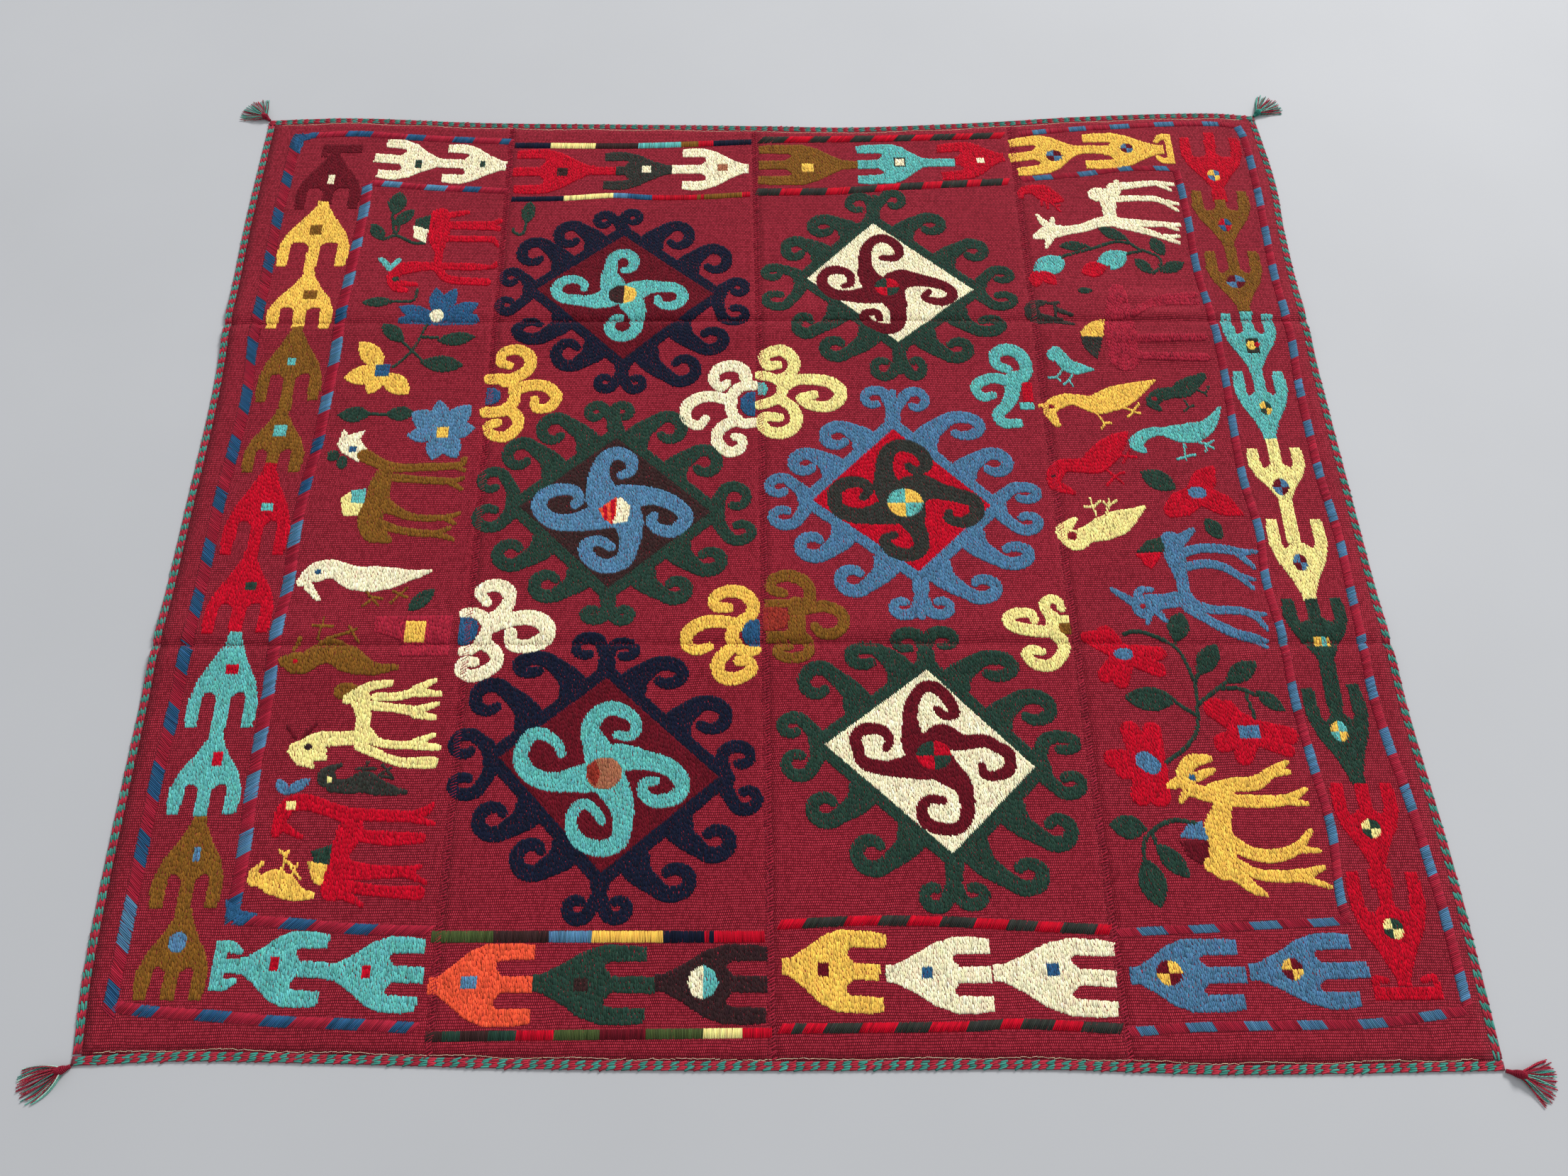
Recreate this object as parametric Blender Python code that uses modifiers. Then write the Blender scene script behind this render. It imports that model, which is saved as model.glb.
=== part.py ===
"""Flat weave rug: four narrow woven strips sewn edge to edge, a flat braid on the four edges and a tassel
at each corner. It lies on the floor as it was unfolded, with two pressed folds running across it.

Metres, +Z up. The floor is z = 0 and the origin lies on it, under the middle of the cloth."""
import math

import bpy
from mathutils import Matrix, Vector

CLOTH_THICKNESS = 0.0024
BRAID_WIDTH = 0.014
BRAID_THICKNESS = 0.0036
BRAID_ROUNDING = 0.0011
SEAM_GAP = 0.0003

# The outer edges of the rug, as uneven as they lie. Each row is (place along the edge, place across it).
LEFT_EDGE = (  # y, x
    (-0.831, -0.934), (-0.70, -0.947), (-0.40, -0.953), (0.00, -0.953),
    (0.20, -0.952), (0.40, -0.959), (0.60, -0.964), (0.851, -0.962),
)
RIGHT_EDGE = (  # y, x
    (-0.857, 0.966), (-0.60, 0.965), (-0.35, 0.954), (0.00, 0.947),
    (0.35, 0.942), (0.55, 0.942), (0.67, 0.947), (0.839, 0.936),
)
BOTTOM_EDGE = (  # x, y
    (-0.934, -0.831), (-0.78, -0.827), (-0.60, -0.832), (-0.30, -0.842),
    (0.00, -0.847), (0.35, -0.849), (0.60, -0.858), (0.966, -0.857),
)
TOP_EDGE = (  # x, y
    (-0.962, 0.851), (-0.80, 0.855), (-0.55, 0.840), (-0.25, 0.832), (0.00, 0.825),
    (0.16, 0.820), (0.40, 0.829), (0.62, 0.843), (0.85, 0.848), (0.936, 0.839),
)
# The three seams between the strips. Each row is (y, x).
SEAMS = (
    ((-0.83, -0.463), (0.00, -0.474), (0.84, -0.492)),
    ((-0.83, -0.004), (0.00, -0.014), (0.83, -0.028)),
    ((-0.83, 0.471), (0.00, 0.466), (0.83, 0.463)),
)
# The two pressed folds. Each row is (x, y).
LOWER_FOLD = ((-0.95, -0.235), (0.00, -0.242), (0.95, -0.252))
UPPER_FOLD = ((-0.95, 0.370), (0.00, 0.366), (0.95, 0.354))

FOLD_HEIGHT = 0.0055
FOLD_SHOULDER = 0.022
FOLD_TAIL = 0.10
FOLD_REACH = 0.11
# Rows of the cloth's mesh on each side of a fold, as distances from it
FOLD_ROWS = (0.010, 0.022, 0.036, 0.052, 0.076, FOLD_REACH)

# Puckers drawn up by dense stitching beside the upper fold
PUCKERS = (  # x, distance above the upper fold, half length, half width, height
    (0.660, 0.052, 0.130, 0.020, 0.0030),
    (0.690, 0.010, 0.120, 0.024, 0.0058),
    (0.680, -0.036, 0.120, 0.018, 0.0030),
    (0.700, -0.076, 0.110, 0.022, 0.0028),
)

PANEL_COLUMNS = (8, 8, 8, 14)
# Plain rows of the mesh: bottom edge to lower fold, between the folds, upper fold to top edge
PLAIN_ROWS = (5, 4, 4)

TASSELS = (  # name, knot distance, aim, half spread, flare, reach, strands, colour
    ("tassel_top_left", 0.012, 142.0, 46.0, 0.20, 0.050, 21, "madder_red"),
    ("tassel_top_right", 0.010, 40.0, 38.0, 0.15, 0.052, 21, "sea_green"),
    ("tassel_bottom_left", 0.012, 206.0, 21.0, 1.20, 0.058, 18, "madder_red"),
    ("tassel_bottom_right", 0.018, -16.0, 41.0, 0.00, 0.047, 21, "madder_red"),
)
NECK_RADIUS = 0.0032
KNOT_RADIUS = 0.0058
COLLAR_RADIUS = 0.0050
KNOT_STEPS = 12
STRAND_RADIUS = 0.00085
STRAND_ROOT_SHARE = 0.34
STRAND_THICKENING = 1.6
ROOT_SPREAD = 0.84
STRAND_POINTS = 7
# Heights at which the three layers of strands leave the knot
LAYER_HEIGHTS = (0.0022, 0.0050, 0.0078)
# Share of a strand's length at which each layer has come down to the floor
LAYER_LANDINGS = (0.40, 0.92, 1.00)

COLOURS = {  # base colour, roughness
    "madder_red": ((0.27, 0.018, 0.034), 0.95),
    "sea_green": ((0.055, 0.25, 0.20), 0.92),
}

for old in list(bpy.data.objects):
    bpy.data.objects.remove(old)

rug = bpy.data.collections.new("flat_weave_rug")
bpy.context.scene.collection.children.link(rug)


def material(name):
    """The wool's colour as a Principled material, one for each piece."""
    colour, roughness = COLOURS[name]
    wool = bpy.data.materials.new(name)
    wool.use_nodes = True
    shader = wool.node_tree.nodes["Principled BSDF"]
    shader.inputs["Base Color"].default_value = (*colour, 1.0)
    shader.inputs["Roughness"].default_value = roughness
    shader.inputs["Metallic"].default_value = 0.0
    return wool


def smooth(table, place):
    """Value at a place on a smooth curve through a table's (place, value) rows, straight past its ends."""
    last = len(table) - 2
    i = next((k for k in range(last + 1) if place <= table[k + 1][0]), last)
    slopes = []
    for k in (i, i + 1):
        low, high = table[max(k - 1, 0)], table[min(k + 1, last + 1)]
        slopes.append((high[1] - low[1]) / (high[0] - low[0]))
    (start, a), (end, b) = table[i], table[i + 1]
    if place < start:
        return a + slopes[0] * (place - start)
    if place > end:
        return b + slopes[1] * (place - end)
    span = end - start
    t = (place - start) / span
    return (
        (1 + 2 * t) * (1 - t) ** 2 * a
        + t * (1 - t) ** 2 * span * slopes[0]
        + t * t * (3 - 2 * t) * b
        - t * t * (1 - t) * span * slopes[1]
    )


def bump(distance, half):
    """A soft rise, 1 at the middle and 0 from half a width away."""
    return math.cos(min(abs(distance) / half, 1.0) * math.pi / 2) ** 2


def lift(x, y):
    """Height of the cloth's underside over the floor."""
    height = 0.0
    for k, fold in enumerate((LOWER_FOLD, UPPER_FOLD)):
        uneven = FOLD_HEIGHT * (0.82 + 0.18 * math.sin(6.5 * x + 2.1 * k + 0.7))
        away = abs(y - smooth(fold, x)) / FOLD_SHOULDER
        height += max(0.0, uneven * (away * math.exp(1.0 - away) - FOLD_TAIL))
    for middle, above, half_length, half_width, rise in PUCKERS:
        away = y - smooth(UPPER_FOLD, x) - above
        height += rise * bump(x - middle, half_length) * bump(away, half_width)
    return height


def meet(across, along):
    """The place where a long line, x as a function of y, meets a cross line, y as a function of x."""
    x = 0.0
    for _ in range(5):
        y = along(x)
        x = across(y)
    return x, y


def cross_lines():
    """The mesh rows of the cloth from its bottom to its top edge, each y as a function of x."""
    inset = BRAID_WIDTH + SEAM_GAP
    guides = (
        (BOTTOM_EDGE, inset), (LOWER_FOLD, -FOLD_REACH), (LOWER_FOLD, FOLD_REACH),
        (UPPER_FOLD, -FOLD_REACH), (UPPER_FOLD, FOLD_REACH), (TOP_EDGE, -inset),
    )
    rows = []
    for span, count in enumerate(PLAIN_ROWS):
        (low, low_by), (high, high_by) = guides[2 * span], guides[2 * span + 1]
        for i in range(count):
            share = i / count
            rows.append(
                lambda x, a=low, b=high, da=low_by, db=high_by, s=share:
                (smooth(a, x) + da) * (1 - s) + (smooth(b, x) + db) * s
            )
        if span < 2:
            offsets = [-d for d in reversed(FOLD_ROWS)] + [0.0] + list(FOLD_ROWS[:-1])
            rows += [lambda x, a=high, d=offset: smooth(a, x) + d for offset in offsets]
    rows.append(lambda x: smooth(TOP_EDGE, x) - inset)
    return rows


def long_lines():
    """The mesh columns of each strip of the cloth, each x as a function of y."""
    inset = BRAID_WIDTH + SEAM_GAP
    sides = [(LEFT_EDGE, inset)] + [(seam, 0.5 * SEAM_GAP) for seam in SEAMS] + [(RIGHT_EDGE, -inset)]
    panels = []
    for k, count in enumerate(PANEL_COLUMNS):
        (left, left_by), (right, right_by) = sides[k], sides[k + 1]
        right_by = right_by if k == len(PANEL_COLUMNS) - 1 else -right_by
        panels.append([
            lambda y, a=left, b=right, da=left_by, db=right_by, s=i / count:
            (smooth(a, y) + da) * (1 - s) + (smooth(b, y) + db) * s
            for i in range(count + 1)
        ])
    return panels


def cloth_sheet(name, columns, rows, thickness, rounding=0.0):
    """A sheet lying on the floor and over its folds, one mesh point where each column meets each row."""
    bpy.ops.mesh.primitive_grid_add(
        x_subdivisions=len(columns) - 1, y_subdivisions=len(rows) - 1, size=2.0
    )
    sheet = bpy.context.object
    sheet.name = sheet.data.name = name
    for point in sheet.data.vertices:
        i = round((point.co.x + 1.0) / 2.0 * (len(columns) - 1))
        j = round((point.co.y + 1.0) / 2.0 * (len(rows) - 1))
        x, y = meet(columns[i], rows[j])
        point.co = (x, y, lift(x, y))
    body = sheet.modifiers.new("thickness", "SOLIDIFY")
    body.thickness = thickness
    body.offset = 1.0
    if rounding:
        edge = sheet.modifiers.new("rounding", "BEVEL")
        edge.width = rounding
        edge.segments = 1
        edge.limit_method = "ANGLE"
        edge.angle_limit = math.radians(60.0)
    keep(sheet, "madder_red")


def keep(piece, colour):
    """Put a piece in the rug's collection with its own wool."""
    for other in list(piece.users_collection):
        other.objects.unlink(piece)
    rug.objects.link(piece)
    piece.data.materials.clear()
    piece.data.materials.append(material(colour))


def woven_panels():
    rows = cross_lines()
    for k, columns in enumerate(long_lines()):
        cloth_sheet(f"panel_{k + 1}", columns, rows, CLOTH_THICKNESS)


def braid_binding():
    """Flat braid edge to edge with the cloth: two lengths across the ends and two between them."""
    rows = cross_lines()
    panels = long_lines()
    shares = (0.0, 0.5, 1.0)
    for name, edge, inward in (("binding_left", LEFT_EDGE, 1.0), ("binding_right", RIGHT_EDGE, -1.0)):
        columns = [lambda y, d=s * inward * BRAID_WIDTH, e=edge: smooth(e, y) + d for s in shares]
        columns = columns if inward > 0 else columns[::-1]
        cloth_sheet(name, columns, rows, BRAID_THICKNESS, BRAID_ROUNDING)
    columns = [lambda y: smooth(LEFT_EDGE, y)]
    for k, panel in enumerate(panels):
        columns += panel if k == 0 else panel[1:]
    columns.append(lambda y: smooth(RIGHT_EDGE, y))
    for name, edge, inward in (("binding_bottom", BOTTOM_EDGE, 1.0), ("binding_top", TOP_EDGE, -1.0)):
        rows = [lambda x, d=s * inward * BRAID_WIDTH, e=edge: smooth(e, x) + d for s in shares]
        rows = rows if inward > 0 else rows[::-1]
        cloth_sheet(name, columns, rows, BRAID_THICKNESS, BRAID_ROUNDING)


def plain_mesh(thing, name):
    """The evaluated shape of an object as a mesh object of its own, with its doubles merged."""
    shape = bpy.data.meshes.new_from_object(thing.evaluated_get(bpy.context.evaluated_depsgraph_get()))
    shape.name = name
    shape.transform(thing.matrix_world)
    bpy.data.objects.remove(thing)
    result = bpy.data.objects.new(name, shape)
    rug.objects.link(result)
    return result


def weld(thing):
    seam = thing.modifiers.new("weld", "WELD")
    seam.merge_threshold = 0.00002


def on_line(table, place):
    """Value at a place on straight lines through a table's (place, value) rows, level past its ends."""
    for (start, a), (end, b) in zip(table, table[1:]):
        if place <= end:
            share = max(place - start, 0.0) / (end - start)
            return a + (b - a) * share
    return table[-1][1]


def knot_body(name, length):
    """The twisted braid ends and the knot: a turned form along +X whose underside lies on the floor."""
    outline = (  # distance along the neck and knot, radius
        (0.0, 0.0), (0.0, NECK_RADIUS), (0.45 * length, NECK_RADIUS), (0.70 * length, 0.85 * KNOT_RADIUS),
        (length, KNOT_RADIUS), (length + 0.6 * KNOT_RADIUS, 0.95 * KNOT_RADIUS),
        (length + 1.1 * KNOT_RADIUS, COLLAR_RADIUS), (length + 1.2 * KNOT_RADIUS, 0.0),
    )
    profile = bpy.data.meshes.new(name)
    points = [(along, radius, 0.0) for along, radius in outline]
    profile.from_pydata(points, [(i, i + 1) for i in range(len(points) - 1)], [])
    turned = bpy.data.objects.new(name, profile)
    rug.objects.link(turned)
    screw = turned.modifiers.new("turn", "SCREW")
    screw.axis = "X"
    screw.angle = math.tau
    screw.steps = screw.render_steps = KNOT_STEPS
    screw.use_merge_vertices = True
    screw.merge_threshold = 0.00002
    screw.use_normal_calculate = True
    body = plain_mesh(turned, name)
    for point in body.data.vertices:
        point.co.z += on_line(outline[1:-1], point.co.x)
    return body


def strands(name, length, half_spread, flare, reach, count):
    """The yarn ends: they leave the knot in three layers, fan out and come down to lie on the floor."""
    yarn = bpy.data.curves.new(name, "CURVE")
    yarn.dimensions = "3D"
    yarn.bevel_depth = STRAND_RADIUS
    yarn.bevel_resolution = 0
    yarn.use_fill_caps = True
    collar = length + 0.7 * KNOT_RADIUS
    for i in range(count):
        side = 2.0 * i / (count - 1) - 1.0
        layer = (0, 1, 0, 2)[i % 4]
        shorter = 1.0 - 0.16 * (0.5 + 0.5 * math.sin(5.3 * i)) - 0.10 * side * side
        path = yarn.splines.new("POLY")
        path.points.add(STRAND_POINTS - 1)
        for j, point in enumerate(path.points):
            t = j / (STRAND_POINTS - 1)
            run = reach * shorter * t
            angle = math.radians(side * half_spread * (1.0 + flare * (1.0 - run / reach)))
            fall = min(t / LAYER_LANDINGS[layer], 1.0)
            fall = fall * fall * (3.0 - 2.0 * fall)
            thick = min(1.0, STRAND_ROOT_SHARE + STRAND_THICKENING * t)
            x = collar + run * math.cos(angle)
            y = side * ROOT_SPREAD * COLLAR_RADIUS + run * math.sin(angle)
            z = LAYER_HEIGHTS[layer] * (1.0 - fall) + STRAND_RADIUS * fall
            point.co = (x, y, z, 1.0)
            point.radius = thick
    bundle = bpy.data.objects.new(name, yarn)
    rug.objects.link(bundle)
    return plain_mesh(bundle, name)


def corner(name):
    """The outer corner of the rug that a tassel is knotted to."""
    end = BOTTOM_EDGE if "bottom" in name else TOP_EDGE
    side = LEFT_EDGE if "left" in name else RIGHT_EDGE
    return meet(lambda y: smooth(side, y), lambda x: smooth(end, x))


def corner_tassels():
    for name, length, aim, half_spread, flare, reach, count, colour in TASSELS:
        knot = knot_body(name, length)
        bundle = strands(f"{name}_strands", length, half_spread, flare, reach, count)
        weld(bundle)
        join = knot.modifiers.new("strands", "BOOLEAN")
        join.operation = "UNION"
        join.object = bundle
        x, y = corner(name)
        start = Vector((math.cos(math.radians(aim)), math.sin(math.radians(aim)), 0.0)) * SEAM_GAP
        turn = Matrix.Rotation(math.radians(aim), 4, "Z")
        place = Matrix.Translation(Vector((x, y, 0.0)) + start) @ turn
        tassel = plain_mesh(knot, name)
        bpy.data.objects.remove(bundle)
        tassel.data.transform(place)
        keep(tassel, colour)


woven_panels()
braid_binding()
corner_tassels()
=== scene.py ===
"""A flat weave rug in its finished looks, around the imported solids: four woven strips, their seams, the flat
braid, the corner tassels and the wool embroidery. Metres, +Z up; the embroidery charts are in millimetres."""
import math

import bpy
import numpy as np
from mathutils import Matrix, Vector


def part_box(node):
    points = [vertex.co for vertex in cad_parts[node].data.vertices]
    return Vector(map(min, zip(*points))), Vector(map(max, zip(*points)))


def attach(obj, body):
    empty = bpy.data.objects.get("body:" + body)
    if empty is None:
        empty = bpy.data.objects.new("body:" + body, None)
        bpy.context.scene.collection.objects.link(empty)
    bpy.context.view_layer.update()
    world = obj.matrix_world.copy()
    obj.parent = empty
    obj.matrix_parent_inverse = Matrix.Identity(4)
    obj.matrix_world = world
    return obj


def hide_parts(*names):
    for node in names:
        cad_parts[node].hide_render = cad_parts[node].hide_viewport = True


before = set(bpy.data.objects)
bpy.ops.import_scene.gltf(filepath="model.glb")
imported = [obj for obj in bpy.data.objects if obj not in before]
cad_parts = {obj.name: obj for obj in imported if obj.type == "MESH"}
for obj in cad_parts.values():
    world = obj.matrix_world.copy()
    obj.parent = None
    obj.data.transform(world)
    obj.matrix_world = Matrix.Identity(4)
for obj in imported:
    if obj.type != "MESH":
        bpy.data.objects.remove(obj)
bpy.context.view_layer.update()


# The view
# The rug lies on a plain pale floor in soft daylight that comes from beyond its far edge. It is seen from
# standing height at its near edge, through a phone's wide lens.
CAMERA_PLACE = Vector((0.0137, -0.874, 1.6338))
CAMERA_PITCH = math.radians(24.0045)
CAMERA_TURN = math.radians(-0.425)
CAMERA_ROLL = math.radians(-0.1944)
LENS_MM = 26.04
SENSOR_MM = 36.0
FLOOR_SIDE = 14.0
FLOOR_DROP = 0.0003
FLOOR_GREY = (0.360, 0.360, 0.368)
SKY_COLOUR = (0.92, 0.96, 1.0)
SKY_STRENGTH = 0.80
WINDOW_PLACE = Vector((7.0, 9.2, 7.4))
WINDOW_SIDE = 3.6
WINDOW_POWER = 2560.0


class Signal:
    """A shader socket that can be reckoned with: arithmetic adds Math nodes, and node() adds any other."""

    def __init__(self, tree, socket=None):
        self.tree = tree
        self.socket = socket

    def node(self, kind, settings=None, inputs=None, output=0):
        made = self.tree.nodes.new(kind)
        for name, value in (settings or {}).items():
            if name == "stops":
                ramp = made.color_ramp
                for k, (place, shade) in enumerate(value):
                    stop = ramp.elements[k] if k < len(ramp.elements) else ramp.elements.new(place)
                    stop.position = place
                    stop.color = shade
            else:
                setattr(made, name, value)
        for key, value in (inputs or {}).items():
            if isinstance(value, Signal):
                self.tree.links.new(value.socket, made.inputs[key])
            else:
                made.inputs[key].default_value = value
        return Signal(self.tree, made.outputs[output])

    def maths(self, operation, *terms):
        inputs = dict(enumerate(terms))
        return self.node("ShaderNodeMath", {"operation": operation}, inputs)

    def __add__(self, other):
        return self.maths("ADD", self, other)

    def __radd__(self, other):
        return self.maths("ADD", other, self)

    def __sub__(self, other):
        return self.maths("SUBTRACT", self, other)

    def __rsub__(self, other):
        return self.maths("SUBTRACT", other, self)

    def __mul__(self, other):
        return self.maths("MULTIPLY", self, other)

    def __truediv__(self, other):
        return self.maths("DIVIDE", self, other)


def dyed(code):
    """A dye's red, green and blue as light, from its web colour."""
    shares = [int(code[k : k + 2], 16) / 255 for k in (1, 3, 5)]
    return tuple(s / 12.92 if s <= 0.04045 else ((s + 0.055) / 1.055) ** 2.4 for s in shares)


def new_material(name):
    """An empty Principled material: the material, its shader node and a first signal for its tree."""
    material = bpy.data.materials.new(name)
    material.use_nodes = True
    tree = material.node_tree
    return material, tree.nodes["Principled BSDF"], Signal(tree)


def new_piece(name, shape, material=None, smooth_faces=True):
    """An object at the origin for a mesh whose places are already in it."""
    piece = bpy.data.objects.new(name, shape)
    bpy.context.scene.collection.objects.link(piece)
    if material is not None:
        shape.materials.clear()
        shape.materials.append(material)
    if smooth_faces:
        shape.shade_smooth()
    return piece


camera = bpy.data.objects.new("camera", bpy.data.cameras.new("camera"))
camera.data.lens = LENS_MM
camera.data.sensor_width = SENSOR_MM
camera.data.sensor_fit = "HORIZONTAL"
camera.data.clip_start = 0.01
camera.data.clip_end = 50.0
camera.matrix_world = (
    Matrix.Translation(CAMERA_PLACE)
    @ Matrix.Rotation(CAMERA_TURN, 4, "Z")
    @ Matrix.Rotation(CAMERA_PITCH, 4, "X")
    @ Matrix.Rotation(CAMERA_ROLL, 4, "Z")
)
bpy.context.scene.collection.objects.link(camera)
bpy.context.scene.camera = camera
bpy.context.scene.view_settings.view_transform = "Standard"

sky = bpy.data.worlds.new("soft sky")
sky.use_nodes = True
sky.node_tree.nodes["Background"].inputs["Color"].default_value = (*SKY_COLOUR, 1.0)
sky.node_tree.nodes["Background"].inputs["Strength"].default_value = SKY_STRENGTH
bpy.context.scene.world = sky

window = bpy.data.objects.new("window light", bpy.data.lights.new("window light", "AREA"))
window.data.size = WINDOW_SIDE
window.data.energy = WINDOW_POWER
window.location = WINDOW_PLACE
window.rotation_euler = WINDOW_PLACE.to_track_quat("Z", "Y").to_euler()
bpy.context.scene.collection.objects.link(window)

floor_shape = bpy.data.meshes.new("floor")
corners = [
    (sx * FLOOR_SIDE / 2, sy * FLOOR_SIDE / 2, -FLOOR_DROP)
    for sx, sy in ((-1, -1), (1, -1), (1, 1), (-1, 1))
]
floor_shape.from_pydata(corners, [], [(0, 1, 2, 3)])
floor_finish, shader, start = new_material("pale floor")
place = start.node("ShaderNodeTexCoord", output="Object")
mottle = start.node("ShaderNodeTexNoise", {}, {"Vector": place, "Scale": 1.7, "Detail": 5.0})
tone = start.node("ShaderNodeMapRange", {}, {"Value": mottle, "To Min": 0.94, "To Max": 1.06})
shade = start.node(
    "ShaderNodeVectorMath", {"operation": "SCALE"}, {"Vector": FLOOR_GREY, "Scale": tone}
)
start.tree.links.new(shade.socket, shader.inputs["Base Color"])
shader.inputs["Roughness"].default_value = 0.85
floor = new_piece("floor", floor_shape, floor_finish, smooth_faces=False)


# The woven strips
# Four narrow strips of madder-dyed wool, woven tight on a small loom with the warp on the face, so that
# short upright dashes of yarn show in close rows. They lie over two pressed folds, puckered on the right.
CLOTH_THICKNESS = 0.0024
BRAID_WIDTH = 0.0116
SEAM_GAP = 0.0003
LEFT_EDGE = (  # y, x
    (-0.831, -0.934), (-0.70, -0.947), (-0.40, -0.953), (0.00, -0.953),
    (0.20, -0.952), (0.40, -0.959), (0.60, -0.964), (0.851, -0.962),
)
RIGHT_EDGE = (  # y, x
    (-0.857, 0.966), (-0.60, 0.965), (-0.35, 0.954), (0.00, 0.947),
    (0.35, 0.942), (0.55, 0.942), (0.67, 0.947), (0.839, 0.936),
)
BOTTOM_EDGE = (  # x, y
    (-0.934, -0.831), (-0.78, -0.827), (-0.60, -0.832), (-0.30, -0.842),
    (0.00, -0.847), (0.35, -0.849), (0.60, -0.858), (0.966, -0.857),
)
TOP_EDGE = (  # x, y
    (-0.962, 0.851), (-0.80, 0.855), (-0.55, 0.840), (-0.25, 0.832), (0.00, 0.825),
    (0.16, 0.820), (0.40, 0.829), (0.62, 0.843), (0.85, 0.848), (0.936, 0.839),
)
SEAMS = (  # y, x
    ((-0.83, -0.463), (0.00, -0.474), (0.84, -0.492)),
    ((-0.83, -0.004), (0.00, -0.014), (0.83, -0.028)),
    ((-0.83, 0.471), (0.00, 0.466), (0.83, 0.463)),
)
LOWER_FOLD = ((-0.95, -0.235), (0.00, -0.242), (0.95, -0.252))  # x, y
UPPER_FOLD = ((-0.95, 0.370), (0.00, 0.366), (0.95, 0.354))  # x, y
FOLD_HEIGHT = 0.0055
FOLD_SHOULDER = 0.022
FOLD_TAIL = 0.10
FOLD_SLACK = 0.003  # cloth taken up by the rise over both folds
PUCKERS = (  # x, distance above the upper fold, half length, half width, height
    (0.660, 0.052, 0.130, 0.020, 0.0030),
    (0.690, 0.010, 0.120, 0.024, 0.0058),
    (0.680, -0.036, 0.120, 0.018, 0.0030),
    (0.700, -0.076, 0.110, 0.022, 0.0028),
)
STRIP_COLUMNS = 30
BAND_ROWS = (50, 66, 54)  # bottom edge to lower fold, between the folds, upper fold to top edge
WEAVE_PITCH = 0.0027  # from one upright dash of yarn to the next
ROW_PITCH = 0.0037
MADDER = dyed("#7C1220")
# The two dyes after MADDER are painted light: a darker one for shade in the grooves between the dashes of
# yarn, and a lighter one for a highlight on their crowns.
MADDER_GROOVE_SHADE = dyed("#31050F")
MADDER_CROWN_HIGHLIGHT = dyed("#A42C3C")


def smooth(table, place):
    """Values at places on a smooth line through a table's (place, value) rows, straight past its ends."""
    at, value = np.array(table, float).T
    row = np.arange(len(at))
    before = np.maximum(row - 1, 0)
    after = np.minimum(row + 1, len(at) - 1)
    slope = (value[after] - value[before]) / (at[after] - at[before])
    i = np.clip(np.searchsorted(at, place) - 1, 0, len(at) - 2)
    span = at[i + 1] - at[i]
    share = (place - at[i]) / span
    t = np.clip(share, 0, 1)
    curve = (1 + 2 * t) * (1 - t) ** 2 * value[i] + t * t * (3 - 2 * t) * value[i + 1]
    curve = curve + t * (1 - t) * span * ((1 - t) * slope[i] - t * slope[i + 1])
    return curve + span * (np.minimum(share, 0) * slope[i] + np.maximum(share - 1, 0) * slope[i + 1])


def swell(distance, half):
    """A soft rise, 1 at the middle and 0 from half a width away."""
    return np.cos(np.minimum(np.abs(distance) / half, 1.0) * math.pi / 2) ** 2


def lift(x, y):
    """Height of the cloth's underside over the floor."""
    height = 0.0
    for k, fold in enumerate((LOWER_FOLD, UPPER_FOLD)):
        uneven = FOLD_HEIGHT * (0.82 + 0.18 * np.sin(6.5 * x + 2.1 * k + 0.7))
        away = np.abs(y - smooth(fold, x)) / FOLD_SHOULDER
        height = height + np.maximum(0.0, uneven * (away * np.exp(1.0 - away) - FOLD_TAIL))
    for middle, above, half_length, half_width, rise in PUCKERS:
        away = y - smooth(UPPER_FOLD, x) - above
        height = height + rise * swell(x - middle, half_length) * swell(away, half_width)
    return height


def meet(across, along):
    """The places where long lines, x as a function of y, meet cross lines, y as a function of x."""
    x = 0.0
    for _ in range(5):
        y = along(x)
        x = across(y)
    return x, y


def grid_sheet(name, left, right, cross, columns, material):
    """A sheet between two long lines, with a mesh row on each cross line, as thick as the cloth."""
    share = np.arange(columns + 1) / columns
    rows = []
    for line in cross:
        x, y = meet(lambda y: left(y) * (1 - share) + right(y) * share, line)
        rows.append(np.stack([x, y + 0 * x, lift(x, y)], axis=-1))
    wide = columns + 1
    faces = [
        (r * wide + c, r * wide + c + 1, (r + 1) * wide + c + 1, (r + 1) * wide + c)
        for r in range(len(rows) - 1)
        for c in range(columns)
    ]
    shape = bpy.data.meshes.new(name)
    shape.from_pydata(np.concatenate(rows).tolist(), [], faces)
    sheet = new_piece(name, shape, material)
    body = sheet.modifiers.new("thickness", "SOLIDIFY")
    body.thickness = CLOTH_THICKNESS
    body.offset = 1.0
    return sheet


def cross_lines():
    """The strips' mesh rows, closer together towards the folds. Each is y as a function of x."""
    inset = BRAID_WIDTH + SEAM_GAP
    guides = (
        (lambda x: smooth(BOTTOM_EDGE, x) + inset), (lambda x: smooth(LOWER_FOLD, x)),
        (lambda x: smooth(UPPER_FOLD, x)), (lambda x: smooth(TOP_EDGE, x) - inset),
    )
    closing = (  # how each band's even steps are drawn towards a fold
        lambda t: math.sin(t * math.pi / 2),
        lambda t: 0.5 - 0.5 * math.cos(t * math.pi),
        lambda t: 1.0 - math.cos(t * math.pi / 2),
    )
    lines = []
    for band, count in enumerate(BAND_ROWS):
        for i in range(count + (band == 2)):
            t = i / count
            s = 0.45 * t + 0.55 * closing[band](t)
            lines.append(lambda x, a=guides[band], b=guides[band + 1], s=s: a(x) * (1 - s) + b(x) * s)
    return lines


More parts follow.
